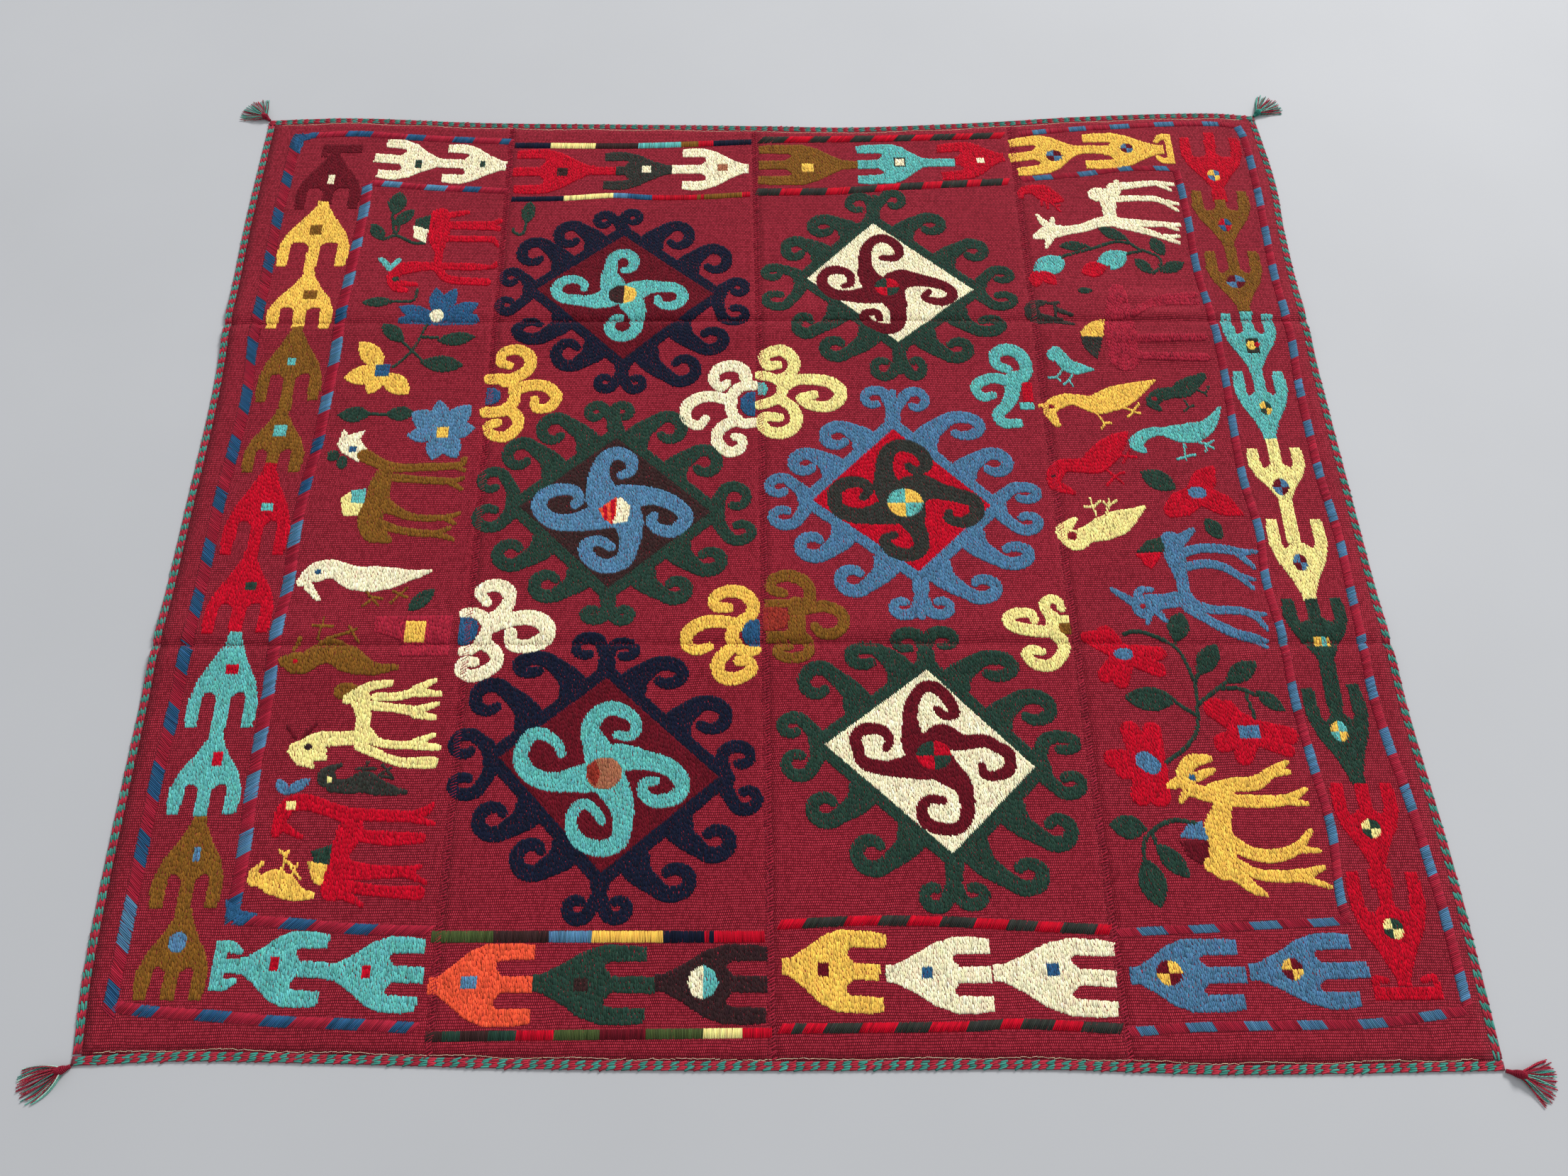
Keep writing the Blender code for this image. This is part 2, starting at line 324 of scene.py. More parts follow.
weave, shader, start = new_material("madder weave")
place = start.node("ShaderNodeTexCoord", output="Object")
drift = start.node("ShaderNodeTexNoise", {}, {"Vector": place, "Scale": 14.0, "Detail": 2.0})
parts = start.node("ShaderNodeSeparateXYZ", {}, {"Vector": place})
along_x = Signal(start.tree, parts.socket.node.outputs["X"])
along_y = Signal(start.tree, parts.socket.node.outputs["Y"])
row = along_y / ROW_PITCH + drift * 1.6
row_number = row.maths("FLOOR", row)
row_chance = start.node("ShaderNodeTexWhiteNoise", {"noise_dimensions": "1D"}, {"W": row_number})
dash = along_x / WEAVE_PITCH + row_number * 0.5 + row_chance * 0.3 + drift * 2.2
dash_number = dash.maths("FLOOR", dash)
cell = start.node("ShaderNodeCombineXYZ", {}, {"X": dash_number, "Y": row_number})
yarn_chance = start.node("ShaderNodeTexWhiteNoise", {"noise_dimensions": "2D"}, {"Vector": cell})
across_dash = (dash.maths("FRACT", dash) - 0.5) * 2.0
across_row = (row.maths("FRACT", row) - 0.5) * 2.0
crown = (1.0 - across_dash * across_dash) * (1.0 - across_row * across_row * across_row * across_row)
streak_place = start.node("ShaderNodeMapping", {}, {"Vector": place, "Scale": (2.5, 110.0, 1.0)})
streak = start.node("ShaderNodeTexNoise", {}, {"Vector": streak_place, "Scale": 1.0, "Detail": 2.0})
patch = start.node("ShaderNodeTexNoise", {}, {"Vector": place, "Scale": 3.4, "Detail": 4.0, "Roughness": 0.6})
# Painted shade and highlight: the colour darkens into the grooves between the dashes and lightens on their
# crowns, with a random tone from yarn to yarn.
painted_relief_and_yarn_tone = crown * (0.75 + yarn_chance * 0.5)
tone = start.node(
    "ShaderNodeValToRGB",
    {"stops": ((0.12, (*MADDER_GROOVE_SHADE, 1)), (0.55, (*MADDER, 1)), (1.0, (*MADDER_CROWN_HIGHLIGHT, 1)))},
    {"Fac": painted_relief_and_yarn_tone},
)
worn = (0.76 + patch * 0.36) * (0.90 + streak * 0.20)
shade = start.node("ShaderNodeVectorMath", {"operation": "SCALE"}, {"Vector": tone, "Scale": worn})
start.tree.links.new(shade.socket, shader.inputs["Base Color"])
fuzz = start.node("ShaderNodeTexNoise", {}, {"Vector": place, "Scale": 2400.0, "Detail": 2.0})
relief = start.node(
    "ShaderNodeBump", {}, {"Height": crown + fuzz * 0.35, "Distance": 0.0007, "Strength": 0.9}
)
start.tree.links.new(relief.socket, shader.inputs["Normal"])
shader.inputs["Roughness"].default_value = 0.92
shader.inputs["Specular IOR Level"].default_value = 0.08
shader.inputs["Sheen Weight"].default_value = 0.02
shader.inputs["Sheen Roughness"].default_value = 0.55

lines = cross_lines()
sides = [lambda y: smooth(LEFT_EDGE, y) + BRAID_WIDTH + SEAM_GAP]
for seam in SEAMS:
    sides.append(lambda y, s=seam: smooth(s, y))
sides.append(lambda y: smooth(RIGHT_EDGE, y) - BRAID_WIDTH - SEAM_GAP)
for k in range(4):
    left_gap = SEAM_GAP / 2 if k > 0 else 0.0
    right_gap = SEAM_GAP / 2 if k < 3 else 0.0
    strip = grid_sheet(
        f"woven_strip_{k + 1}",
        lambda y, k=k, g=left_gap: sides[k](y) + g,
        lambda y, k=k, g=right_gap: sides[k + 1](y) - g,
        lines, STRIP_COLUMNS, weave,
    )
    node = f"panel_{k + 1}"
    low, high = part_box(node)
    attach(strip, "root")
    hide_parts(node)
    flat_length = smooth(TOP_EDGE, (low.x + high.x) / 2) - smooth(BOTTOM_EDGE, (low.x + high.x) / 2)
    flat_length = float(flat_length) - 2 * (BRAID_WIDTH + SEAM_GAP) + FOLD_SLACK
    flat_width = float(sides[k + 1](0.0) - sides[k](0.0))


# The seams
# Neighbouring strips are whipped together through their selvedges with doubled madder yarn. The slanting
# stitches stand in a low rope-like line down each join.
SEAM_STITCH_PITCH = 0.0046
SEAM_STITCH = (0.0026, 0.0135, 0.0016)  # width, length, height
SEAM_SLANT = math.radians(-58.0)
SEAM_END_GAP = 0.002  # from the braid to the seam's end
SEAM_MADDER = dyed("#8E1E30")
STITCH_SINK = 0.0003  # how far a stitch's foot goes into the cloth
FOOT_TO_RIDGE = 0.72  # share of a stitch's length along its rounded ridge
# Painted shade: the stitches' wool is darkened towards each foot, where shade falls down between them.
FOOT_PAINTED_SHADE = 0.50  # how much darker the wool is at a stitch's foot
SLOPE_REACH = 0.002  # distance to each side over which the cloth's slope is taken
LOOSE_HEIGHT = 0.14  # share by which stitches are higher or lower


def one_stitch():
    """The shape of every stitch, one unit wide, long and high: a ridge of yarn on a flat foot."""
    foot = [(sx / 2, sy / 2, 0.0) for sx, sy in ((-1, -1), (1, -1), (1, 1), (-1, 1))]
    ridge = [(0.0, -FOOT_TO_RIDGE / 2, 1.0), (0.0, FOOT_TO_RIDGE / 2, 1.0)]
    shape = bpy.data.meshes.new("stitch")
    shape.from_pydata(foot + ridge, [], [(3, 2, 1, 0), (1, 2, 5, 4), (3, 0, 4, 5), (0, 1, 4), (2, 3, 5)])
    # The attribute set here is 1 at the foot and 0 on the ridge; the wool material paints shade down the
    # stitch's sides with it.
    shape.attributes.new("foot_shade_mask", "FLOAT", "POINT").data.foreach_set("value", (1, 1, 1, 1, 0, 0))
    return bpy.data.objects.new("stitch", shape)


def sewing_tree():
    """Geometry Nodes that set a stitch on every point, turned and sized by the point's own values."""
    tree = bpy.data.node_groups.new("sewing", "GeometryNodeTree")
    face = tree.interface
    face.new_socket("Points", in_out="INPUT", socket_type="NodeSocketGeometry")
    face.new_socket("Stitch", in_out="INPUT", socket_type="NodeSocketObject")
    face.new_socket("Wool", in_out="INPUT", socket_type="NodeSocketMaterial")
    face.new_socket("Loose Lean", in_out="INPUT", socket_type="NodeSocketFloat")
    face.new_socket("Loose Height", in_out="INPUT", socket_type="NodeSocketFloat")
    face.new_socket("Seed", in_out="INPUT", socket_type="NodeSocketInt")
    face.new_socket("Sewn", in_out="OUTPUT", socket_type="NodeSocketGeometry")
    start = Signal(tree)
    given = tree.nodes.new("NodeGroupInput").outputs
    lean = Signal(tree, given["Loose Lean"])
    spare = Signal(tree, given["Loose Height"])
    seed = Signal(tree, given["Seed"])
    tilt = start.node(
        "FunctionNodeRandomValue", {"data_type": "FLOAT"},
        {2: lean * -1.0, 3: lean, 8: seed}, output=1,
    )
    rise = start.node(
        "FunctionNodeRandomValue", {"data_type": "FLOAT"},
        {2: 1.0 - spare, 3: 1.0 + spare, 8: seed + 7.0}, output=1,
    )
    turn = start.node("GeometryNodeInputNamedAttribute", {"data_type": "FLOAT_VECTOR"}, {"Name": "turn"})
    size = start.node("GeometryNodeInputNamedAttribute", {"data_type": "FLOAT_VECTOR"}, {"Name": "size"})
    tilt_vector = start.node("ShaderNodeCombineXYZ", {}, {"Z": tilt})
    rise_vector = start.node("ShaderNodeCombineXYZ", {}, {"X": 1.0, "Y": 1.0, "Z": rise})
    turned = start.node("ShaderNodeVectorMath", {"operation": "ADD"}, {0: turn, 1: tilt_vector})
    sized = start.node("ShaderNodeVectorMath", {"operation": "MULTIPLY"}, {0: size, 1: rise_vector})
    shape = start.node("GeometryNodeObjectInfo", {}, {"Object": Signal(tree, given["Stitch"])}, "Geometry")
    sown = start.node(
        "GeometryNodeInstanceOnPoints", {},
        {"Points": Signal(tree, given["Points"]), "Instance": shape, "Rotation": turned, "Scale": sized},
    )
    real = start.node("GeometryNodeRealizeInstances", {}, {"Geometry": sown})
    dressed = start.node(
        "GeometryNodeSetMaterial", {}, {"Geometry": real, "Material": Signal(tree, given["Wool"])}
    )
    out = tree.nodes.new("NodeGroupOutput")
    tree.links.new(dressed.socket, out.inputs["Sewn"])
    return tree


def put(shape, name, kind, values):
    """Store a value of its own on every point of a mesh."""
    field = "color" if kind == "FLOAT_COLOR" else "vector"
    shape.attributes.new(name, kind, "POINT").data.foreach_set(field, np.ravel(values))


def sew(name, x, y, size, angle, dye, material, height=None, lean=0.10, seed=1):
    """One mesh of stitches at places x, y on the cloth, each (width, length, height) long along its angle."""
    ground = lift(x, y) + CLOTH_THICKNESS if height is None else height
    slope_x = (lift(x + SLOPE_REACH, y) - lift(x - SLOPE_REACH, y)) / (2 * SLOPE_REACH)
    slope_y = (lift(x, y + SLOPE_REACH) - lift(x, y - SLOPE_REACH)) / (2 * SLOPE_REACH)
    along = -np.sin(angle) * slope_x + np.cos(angle) * slope_y
    across = np.cos(angle) * slope_x + np.sin(angle) * slope_y
    points = bpy.data.meshes.new("points")
    points.vertices.add(len(x))
    places = np.stack([x, y, ground - STITCH_SINK + 0 * x], axis=-1)
    points.vertices.foreach_set("co", places.ravel())
    turn = np.stack([np.arctan(along), -np.arctan(across), angle + 0 * x], axis=-1)
    put(points, "turn", "FLOAT_VECTOR", turn)
    put(points, "size", "FLOAT_VECTOR", size)
    put(points, "dye", "FLOAT_COLOR", np.concatenate([dye, np.ones((len(x), 1))], axis=1))
    carrier = new_piece("carrier", points, smooth_faces=False)
    sewing = carrier.modifiers.new("sewing", "NODES")
    sewing.node_group = SEWING
    given = {item.name: item.identifier for item in SEWING.interface.items_tree if item.in_out == "INPUT"}
    sewing[given["Stitch"]] = STITCH
    sewing[given["Wool"]] = material
    sewing[given["Loose Lean"]] = lean
    sewing[given["Loose Height"]] = LOOSE_HEIGHT
    sewing[given["Seed"]] = seed
    done = carrier.evaluated_get(bpy.context.evaluated_depsgraph_get())
    shape = bpy.data.meshes.new_from_object(done)
    bpy.data.objects.remove(carrier)
    for spent in ("turn", "size"):
        shape.attributes.remove(shape.attributes[spent])
    shape.name = name
    lay_flat_map(shape)
    return new_piece(name, shape)


def lay_flat_map(shape):
    """A map of the mesh seen from above, for whoever bakes the wool's colours."""
    corner = np.empty(len(shape.loops), np.int32)
    shape.loops.foreach_get("vertex_index", corner)
    place = np.empty(len(shape.vertices) * 3, np.float32)
    shape.vertices.foreach_get("co", place)
    flat = place.reshape(-1, 3)[:, :2]
    flat = (flat - flat.min(0)) / max(float(np.ptp(flat, axis=0).max()), 0.001)
    shape.uv_layers.new(name="OFBake").uv.foreach_set("vector", flat[corner].ravel())


def varied(dye, count, chance, spread=0.15):
    """The same dye on many stitches, as unevenly as hand-dyed wool takes it."""
    tone = np.clip(chance.normal(1.0, spread, (count, 1)), 0.55, 1.5)
    cast = chance.normal(1.0, 0.035, (count, 3))
    return np.clip(np.broadcast_to(dye, (count, 3)) * tone * cast, 0.0, 1.0)


def wool_material(name, fibre=(2600.0, 500.0, 1500.0)):
    """Wool yarn in its stitch's own dye, with fine fibres along it, and painted shade darkening it down
    between the stitches.
    """
    wool, shader, start = new_material(name)
    place = start.node("ShaderNodeTexCoord", output="Object")
    dye = start.node("ShaderNodeAttribute", {"attribute_name": "dye"}, output="Color")
    drawn = start.node("ShaderNodeMapping", {}, {"Vector": place, "Scale": fibre})
    fibres = start.node("ShaderNodeTexNoise", {}, {"Vector": drawn, "Scale": 1.0, "Detail": 3.0})
    tone = start.node("ShaderNodeMapRange", {}, {"Value": fibres, "To Min": 0.72, "To Max": 1.24})
    # Painted shade: darker towards each stitch's foot, down between the stitches.
    foot_shade_mask = start.node("ShaderNodeAttribute", {"attribute_name": "foot_shade_mask"}, output="Fac")
    tone = tone * (1.0 - foot_shade_mask * FOOT_PAINTED_SHADE)
    shade = start.node("ShaderNodeVectorMath", {"operation": "SCALE"}, {"Vector": dye, "Scale": tone})
    start.tree.links.new(shade.socket, shader.inputs["Base Color"])
    relief = start.node("ShaderNodeBump", {}, {"Height": fibres, "Distance": 0.0003, "Strength": 0.6})
    start.tree.links.new(relief.socket, shader.inputs["Normal"])
    shader.inputs["Roughness"].default_value = 0.9
    shader.inputs["Specular IOR Level"].default_value = 0.08
    shader.inputs["Sheen Weight"].default_value = 0.02
    shader.inputs["Sheen Roughness"].default_value = 0.5
    return wool


STITCH = one_stitch()
SEWING = sewing_tree()
seam_wool = wool_material("seam wool")
for k, seam in enumerate(SEAMS):
    chance = np.random.default_rng(20 + k)
    inset = BRAID_WIDTH + SEAM_END_GAP
    bottom = smooth(BOTTOM_EDGE, smooth(seam, -0.83)) + inset
    top = smooth(TOP_EDGE, smooth(seam, 0.83)) - inset
    y = np.arange(bottom, top, SEAM_STITCH_PITCH)
    y = y + chance.normal(0, 0.0003, len(y))
    x = smooth(seam, y) + chance.normal(0, 0.0004, len(y))
    size = np.array(SEAM_STITCH) * chance.normal(1.0, 0.08, (len(y), 3))
    angle = SEAM_SLANT + chance.normal(0, 0.12, len(y))
    dye = varied(SEAM_MADDER, len(y), chance)
    line = sew(f"seam_{k + 1}", x, y, size, angle, dye, seam_wool, seed=k)
    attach(line, "root")


# The embroidered border
# The rug's frame is worked in thick wool on the strips: two stripes of slanting satin stitches in blue and
# madder run round it, many-coloured bars run on across the middle strips, and pronged kites fill the frame.
STITCH_WIDTH = 2.45  # from one upright stitch to the next, in millimetres like all of the embroidery
STITCH_LENGTH = 7.2
STITCH_OVERLAP = 2.4
UPRIGHT_LEAN = math.radians(6.0)
SATIN_PITCH = 2.2
WOOL_WIDTH = 3.4
WOOL_HEIGHT = 1.45
SATIN_THINNER = 0.5  # how much narrower a satin stitch is than an upright one
SATIN_HIGHER = 0.3
CURVE_STEP = 1.2
LEAF_FULLNESS = 0.8  # lower for a leaf that is blunter
HOOK_SWEEP = math.radians(276)
HOOK_CLOSING = 0.42  # share of its radius by which a hook's end draws in
DYES = {
    "crimson": "#B60320", "golden": "#EDBC51", "pale yellow": "#EFDE8E", "ivory": "#F3E7C0",
    "turquoise": "#5CAEA9", "mid blue": "#4A7494", "sky blue": "#507C9C", "royal blue": "#275377",
    "navy": "#10162A", "dark green": "#233C31", "charcoal": "#2F312C", "olive": "#7B511A",
    "leaf green": "#44502A", "orange": "#E55434", "rust": "#A06448", "brick": "#8F2E22",
    "stripe red": "#9C2034", "aubergine": "#301D1F", "maroon": "#610D1B", "madder": "#881824",
    "dark brown": "#352120",
}
DYE_NAMES = list(DYES)


def curved(points):
    """Places at even steps along a smooth line through a few points."""
    points = np.array(points, float)
    padded = np.concatenate([2 * points[:1] - points[1:2], points, 2 * points[-1:] - points[-2:-1]])
    route = []
    for a, b, c, d in zip(padded, padded[1:], padded[2:], padded[3:]):
        t = np.linspace(0, 1, max(2, int(np.hypot(*(c - b)) / CURVE_STEP)), endpoint=False)[:, None]
        route.append(
            0.5 * (2 * b + (c - a) * t + (2 * a - 5 * b + 4 * c - d) * t**2 + (3 * b - a - 3 * c + d) * t**3)
        )
    return np.concatenate(route + [points[-1:]])


class Chart:
    """A sewing chart. Shapes filled in on it, each over the ones before, are sewn in upright stitches, column
    by column. Satin stitches are laid on it one by one."""

    cells_x = np.arange(-966.0, 984.0, STITCH_WIDTH)
    cells_y = np.arange(-868.0, 868.0, 1.0)

    def __init__(self):
        self.wool = np.zeros((len(self.cells_x), len(self.cells_y)), np.uint8)
        self.laid = []

    def part(self, low, high):
        """The slice of the chart that covers a box, with its cells' places."""
        i = slice(*np.searchsorted(self.cells_x, (low[0], high[0])))
        j = slice(*np.searchsorted(self.cells_y, (low[1], high[1])))
        return (i, j), self.cells_x[i, None], self.cells_y[None, j]

    def fill(self, dye, *outline):
        """Fill a straight-sided outline."""
        outline = np.array(outline, float)
        where, x, y = self.part(outline.min(0), outline.max(0))
        inside = np.zeros((x.size, y.size), bool)
        for (ax, ay), (bx, by) in zip(outline, np.roll(outline, -1, axis=0)):
            if ay != by:
                inside ^= ((ay > y) != (by > y)) & (x < ax + (y - ay) * (bx - ax) / (by - ay))
        self.wool[where][inside] = DYE_NAMES.index(dye) + 1

    def line(self, dye, points, *widths):
        """Fill along a smooth line through points, from the first width to the last."""
        route = curved(points)
        halves = np.interp(np.linspace(0, 1, len(route)), np.linspace(0, 1, len(widths)), widths) / 2
        for place, half in zip(route, halves):
            self.disc(dye, place, (half, half))

    def strokes(self, dye, *strokes):
        """Fill along several smooth lines, each with its width or widths and then its points."""
        for widths, *route in strokes:
            self.line(dye, route, *np.atleast_1d(widths))

    def disc(self, dye, centre, halves):
        """Fill an ellipse."""
        centre = np.array(centre, float)
        reach = np.array(halves, float)
        where, x, y = self.part(centre - reach, centre + reach)
        inside = ((x - centre[0]) / reach[0]) ** 2 + ((y - centre[1]) / reach[1]) ** 2 <= 1
        self.wool[where][inside] = DYE_NAMES.index(dye) + 1

    def block(self, dye, x, y, wide, high):
        """Fill a small upright rectangle round a place."""
        w, h = wide / 2, high / 2
        self.fill(dye, (x - w, y - h), (x + w, y - h), (x + w, y + h), (x - w, y + h))

    def quarters(self, falling, rising, x, y, wide, high):
        """Fill an oval by quarters, in one dye down its falling diagonal and another up the rising one."""
        self.disc(rising, (x, y), (wide / 2, high / 2))
        for side in (-1, 1):
            far = (x + side * wide, y - side * high)
            where, xs, ys = self.part(np.minimum((x, y), far), np.maximum((x, y), far))
            oval = (2 * (xs - x) / wide) ** 2 + (2 * (ys - y) / high) ** 2 <= 1
            self.wool[where][oval] = DYE_NAMES.index(falling) + 1

    def leaf(self, dye, tip, end, width):
        """Fill a pointed oval from tip to end."""
        tip, end = np.array(tip, float), np.array(end, float)
        share = np.linspace(0, 1, 13)[:, None]
        half = width / 2 * np.sin(share * math.pi) ** LEAF_FULLNESS
        along = end - tip
        side = np.array((-along[1], along[0])) / np.hypot(*along)
        middle = tip + share * along
        self.fill(dye, *(middle + half * side), *(middle - half * side)[::-1])

    def leaves(self, dye, *leaves):
        """Fill several pointed ovals."""
        for tip, end, width in leaves:
            self.leaf(dye, tip, end, width)

    def hook(self, dye, root, centre, radii, way, *widths):
        """Fill a hook, from its root over a bowed stem and round its centre. Way is 1 for anticlockwise and
        -1 for clockwise."""
        root, radii = np.array(root, float), np.array(radii, float)
        offset = (root - centre) / radii
        distance = max(float(np.hypot(*offset)), 1.0)
        start = math.atan2(offset[1], offset[0]) + way * math.acos(1 / distance)
        turn = np.linspace(0, 1, 9)
        angle = start + way * HOOK_SWEEP * turn
        reach = 1 - HOOK_CLOSING * turn**2
        ring = centre + radii * np.stack([np.cos(angle), np.sin(angle)], axis=1) * reach[:, None]
        ahead = ring[0] - root
        bow = way * np.array((ahead[1], -ahead[0]))
        self.line(dye, [root, root + 0.45 * ahead + 0.10 * bow, *ring], *widths)

    def kite(self, dye, apex, foot, half, middle=1.0, widest=0.70):
        """Fill a kite from its narrow apex to the ends of its outer prongs. Its middle prong ends at a share
        of that length, and it is widest at another."""
        apex, foot = np.array(apex, float), np.array(foot, float)
        ahead = foot - apex
        aside = np.array((-ahead[1], ahead[0])) / np.hypot(*ahead)
        neck = 10.0
        side = (  # share of the way from apex to foot, distance to the side
            (0.0, neck), (0.08, neck + 1), (0.40 * widest, 0.47 * half), (0.70 * widest, 0.82 * half),
            (widest, half), (0.86, half), (1.0, half - 3), (1.0, half - 20), (0.68, half - 21),
            (0.64, half - 24), (0.64, neck + 9), (0.70, neck), (max(middle, 0.70), neck),
        )
        right = [apex + ahead * share + aside * away for share, away in side]
        left = [apex + ahead * share - aside * away for share, away in reversed(side)]
        self.fill(dye, *right, *left)

    def draw(self, kind, *shapes):
        """Fill several shapes of one kind, each given by what the kind asks for."""
        for shape in shapes:
            kind(self, *shape)

    def satin(self, width, slant, dye, route, *spans):
        """Lay slanting stitches side by side along a route, in a span's dye where one covers them."""
        route = curved(route)
        ahead = route[-1] - route[0]
        lean = math.radians(slant)
        square = abs(math.sin(lean) * ahead[1] + math.cos(lean) * ahead[0]) / np.hypot(*ahead)
        run = np.concatenate([[0], np.cumsum(np.hypot(*np.diff(route, axis=0).T))])
        even = np.arange(0, run[-1], SATIN_PITCH / square)
        x = np.interp(even, run, route[:, 0])
        y = np.interp(even, run, route[:, 1])
        for place in zip(x, y):
            at = place[abs(ahead[1]) > abs(ahead[0])]
            shades = [(*span, dye)[2] for span in spans if min(span[:2]) <= at <= max(span[:2])]
            self.laid.append((*place, width / square, lean, DYE_NAMES.index((shades + ["stripe red"])[0])))

    def upright(self, chance):
        """The stitches of the filled cells, as places, lengths, leans and dyes."""
        found = []
        for x, column in zip(self.cells_x, self.wool):
            ends = np.flatnonzero(np.diff(column)) + 1
            for low, high in zip([0, *ends], [*ends, len(column)]):
                if column[low] == 0:
                    continue
                cuts = [float(low)]
                if high - low > 1.4 * STITCH_LENGTH:
                    cuts.append(low + STITCH_LENGTH * chance.uniform(0.35, 1.0))
                    while cuts[-1] < high - 0.4 * STITCH_LENGTH:
                        cuts.append(cuts[-1] + STITCH_LENGTH * chance.uniform(0.88, 1.12))
                    cuts[-1] = high
                else:
                    cuts.append(float(high))
                for a, b in zip(cuts, cuts[1:]):
                    middle = self.cells_y[0] + (a + b) / 2
                    found.append((x, middle, b - a + STITCH_OVERLAP, None, column[low] - 1))
        return found

    def sewn(self, name, seed):
        """Sew the chart as one piece on the cloth."""
        chance = np.random.default_rng(seed)
        stitches = self.laid + self.upright(chance)
        count = len(stitches)
        x, y, length, lean, dye = (np.array(values) for values in zip(*stitches))
        slanting = np.arange(count) < len(self.laid)
        lean = np.where(slanting, lean, UPRIGHT_LEAN).astype(float)
        lean = lean + chance.normal(0, 0.04, count) + np.where(slanting, 0.0, chance.normal(0, 0.11, count))
        jitter = np.where(slanting, 0.0, 1.0)
        x = x + jitter * chance.normal(0, 0.25, count)
        y = y + jitter * chance.normal(0, 0.35, count)
        size = np.stack([
            chance.normal(WOOL_WIDTH, 0.15, count) - SATIN_THINNER * slanting,
            length * chance.normal(1.0, 0.03, count),
            chance.normal(WOOL_HEIGHT, 0.12, count) + SATIN_HIGHER * slanting,
        ], axis=1)
        wool = np.array([dyed(code) for code in DYES.values()])[dye]
        wool = varied(wool, count, chance, 0.16)
        piece = sew(name, x / 1000, y / 1000, size / 1000, lean, wool, embroidery_wool, lean=0.02, seed=seed)
        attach(piece, "root")


def by_turns(dyes, *bounds):
    """Spans between bounds that follow one another, in two dyes by turns."""
    return [(*span, dyes[k % 2]) for k, span in enumerate(zip(bounds, bounds[1:]))]


embroidery_wool = wool_material("embroidery wool")

stripes = Chart()
stripes.satin(
    21, 50, "royal blue",
    ((-886, 810), (-903, 796), (-905, 700), (-907, 610), (-902, 400), (-900, 310), (-893, 215), (-896, 110),
     (-900, 20), (-900, -160), (-901, -345), (-904, -440), (-901, -645), (-900, -768)),
    (812, 775), (718, 688), (630, 588), (525, 488), (424, 384), (336, 290), (238, 190), (138, 94), (38, 2),
    (-54, -96), (-144, -184), (-233, -276), (-332, -372), (-424, -470), (-522, -566),
    (-616, -682, "sky blue"), (-728, -760),
)
stripes.satin(
    20, -58, "sky blue",
    ((-752, 690), (-750, 620), (-754, 480), (-756, 400), (-754, 310), (-756, 200), (-757, 120), (-764, 45),
     (-767, -45), (-763, -130), (-766, -210), (-763, -300), (-762, -450), (-757, -540), (-756, -645)),
    (687, 667), (643, 606), (560, 536), (482, 451), (404, 375, "royal blue"), (336, 284), (224, 187),
    (138, 110, "royal blue"), (58, 32, "royal blue"), (-24, -65), (-115, -150), (-188, -225), (-276, -320),
    (-372, -403), (-436, -478), (-522, -556), (-612, -645, "royal blue"),
)
stripes.satin(
    16, -68, "mid blue",
    ((900, 812), (908, 780), (910, 722), (910, 640), (905, 462), (907, 300), (903, 215), (903, 55),
     (908, -20), (911, -90), (907, -250), (906, -324), (912, -406), (923, -492), (930, -580), (935, -663),
     (936, -775)),
    (812, 785), (738, 706), (658, 616), (568, 526), (480, 444), (398, 364), (312, 278), (234, 198),
    (152, 120), (70, 40), (-1, -38), (-77, -102), (-156, -188), (-238, -262), (-308, -340), (-387, -426),
    (-474, -511), (-561, -602), (-648, -678), (-734, -768),
)
stripes.satin(
    15, -68, "mid blue",
    ((766, 705), (769, 653), (770, 574), (768, 486), (772, 406), (778, 328), (780, 237), (777, 143),
     (776, 42), (785, -54), (780, -141), (786, -235), (787, -336), (794, -433), (802, -535), (795, -624),
     (797, -660)),
    (670, 636), (592, 556), (506, 466), (420, 393), (346, 310), (254, 220), (164, 122), (62, 22),
    (-34, -74), (-125, -158), (-215, -254), (-314, -358), (-412, -454), (-514, -556), (-606, -642),
)
stripes.satin(
    16, -22, "royal blue", ((-880, 812), (-785, 815), (-676, 804), (-584, 797), (-490, 791)),
    (-880, -866), (-808, -761), (-694, -658), (-604, -564), (-512, -493),
)
stripes.satin(
    15, -24, "sky blue", ((-745, 692), (-705, 688), (-622, 678), (-555, 674), (-490, 669)),
    (-724, -688), (-642, -602), (-570, -540, "royal blue"),
)
stripes.satin(
    16, -47, "royal blue", ((-748, -645), (-664, -652), (-573, -660), (-480, -663)),
    (-748, -730), (-683, -644), (-590, -556),
)
stripes.satin(
    16, -39, "royal blue",
    ((-893, -757), (-850, -764), (-757, -771), (-667, -779), (-577, -783), (-483, -789)),
    (-864, -835), (-777, -738), (-690, -650), (-598, -556), (-513, -491),
)
stripes.satin(
    13, 8, "mid blue", ((480, 799), (519, 804), (592, 811), (674, 816), (760, 821), (850, 821), (896, 815)),
    (506, 532), (576, 608), (655, 693), (740, 778), (835, 864),
)
stripes.satin(
    13, 25, "mid blue", ((474, 686), (513, 690), (598, 699), (670, 710), (740, 710), (762, 706)),
    (496, 532), (580, 616), (657, 684), (725, 752),
)
stripes.satin(
    12, 37, "mid blue", ((478, -677), (524, -674), (596, -672), (682, -668), (765, -665), (800, -662)),
    (505, 542), (578, 614), (662, 703), (746, 784),
)
stripes.satin(
    13, 30, "mid blue",
    ((476, -804), (498, -803), (572, -799), (722, -798), (804, -797), (886, -788), (932, -782)),
    (486, 511), (554, 590), (632, 664), (704, 740), (786, 820), (869, 902),
)
stripes.satin(
    15, 0, "navy", ((-483, 782), (-260, 778), (-33, 785)),
    (-484, -415), (-415, -330, "pale yellow"), (-330, -248, "dark brown"), (-248, -168, "turquoise"),
    (-168, -135, "olive"), (-135, -105, "crimson"), (-105, -32),
)
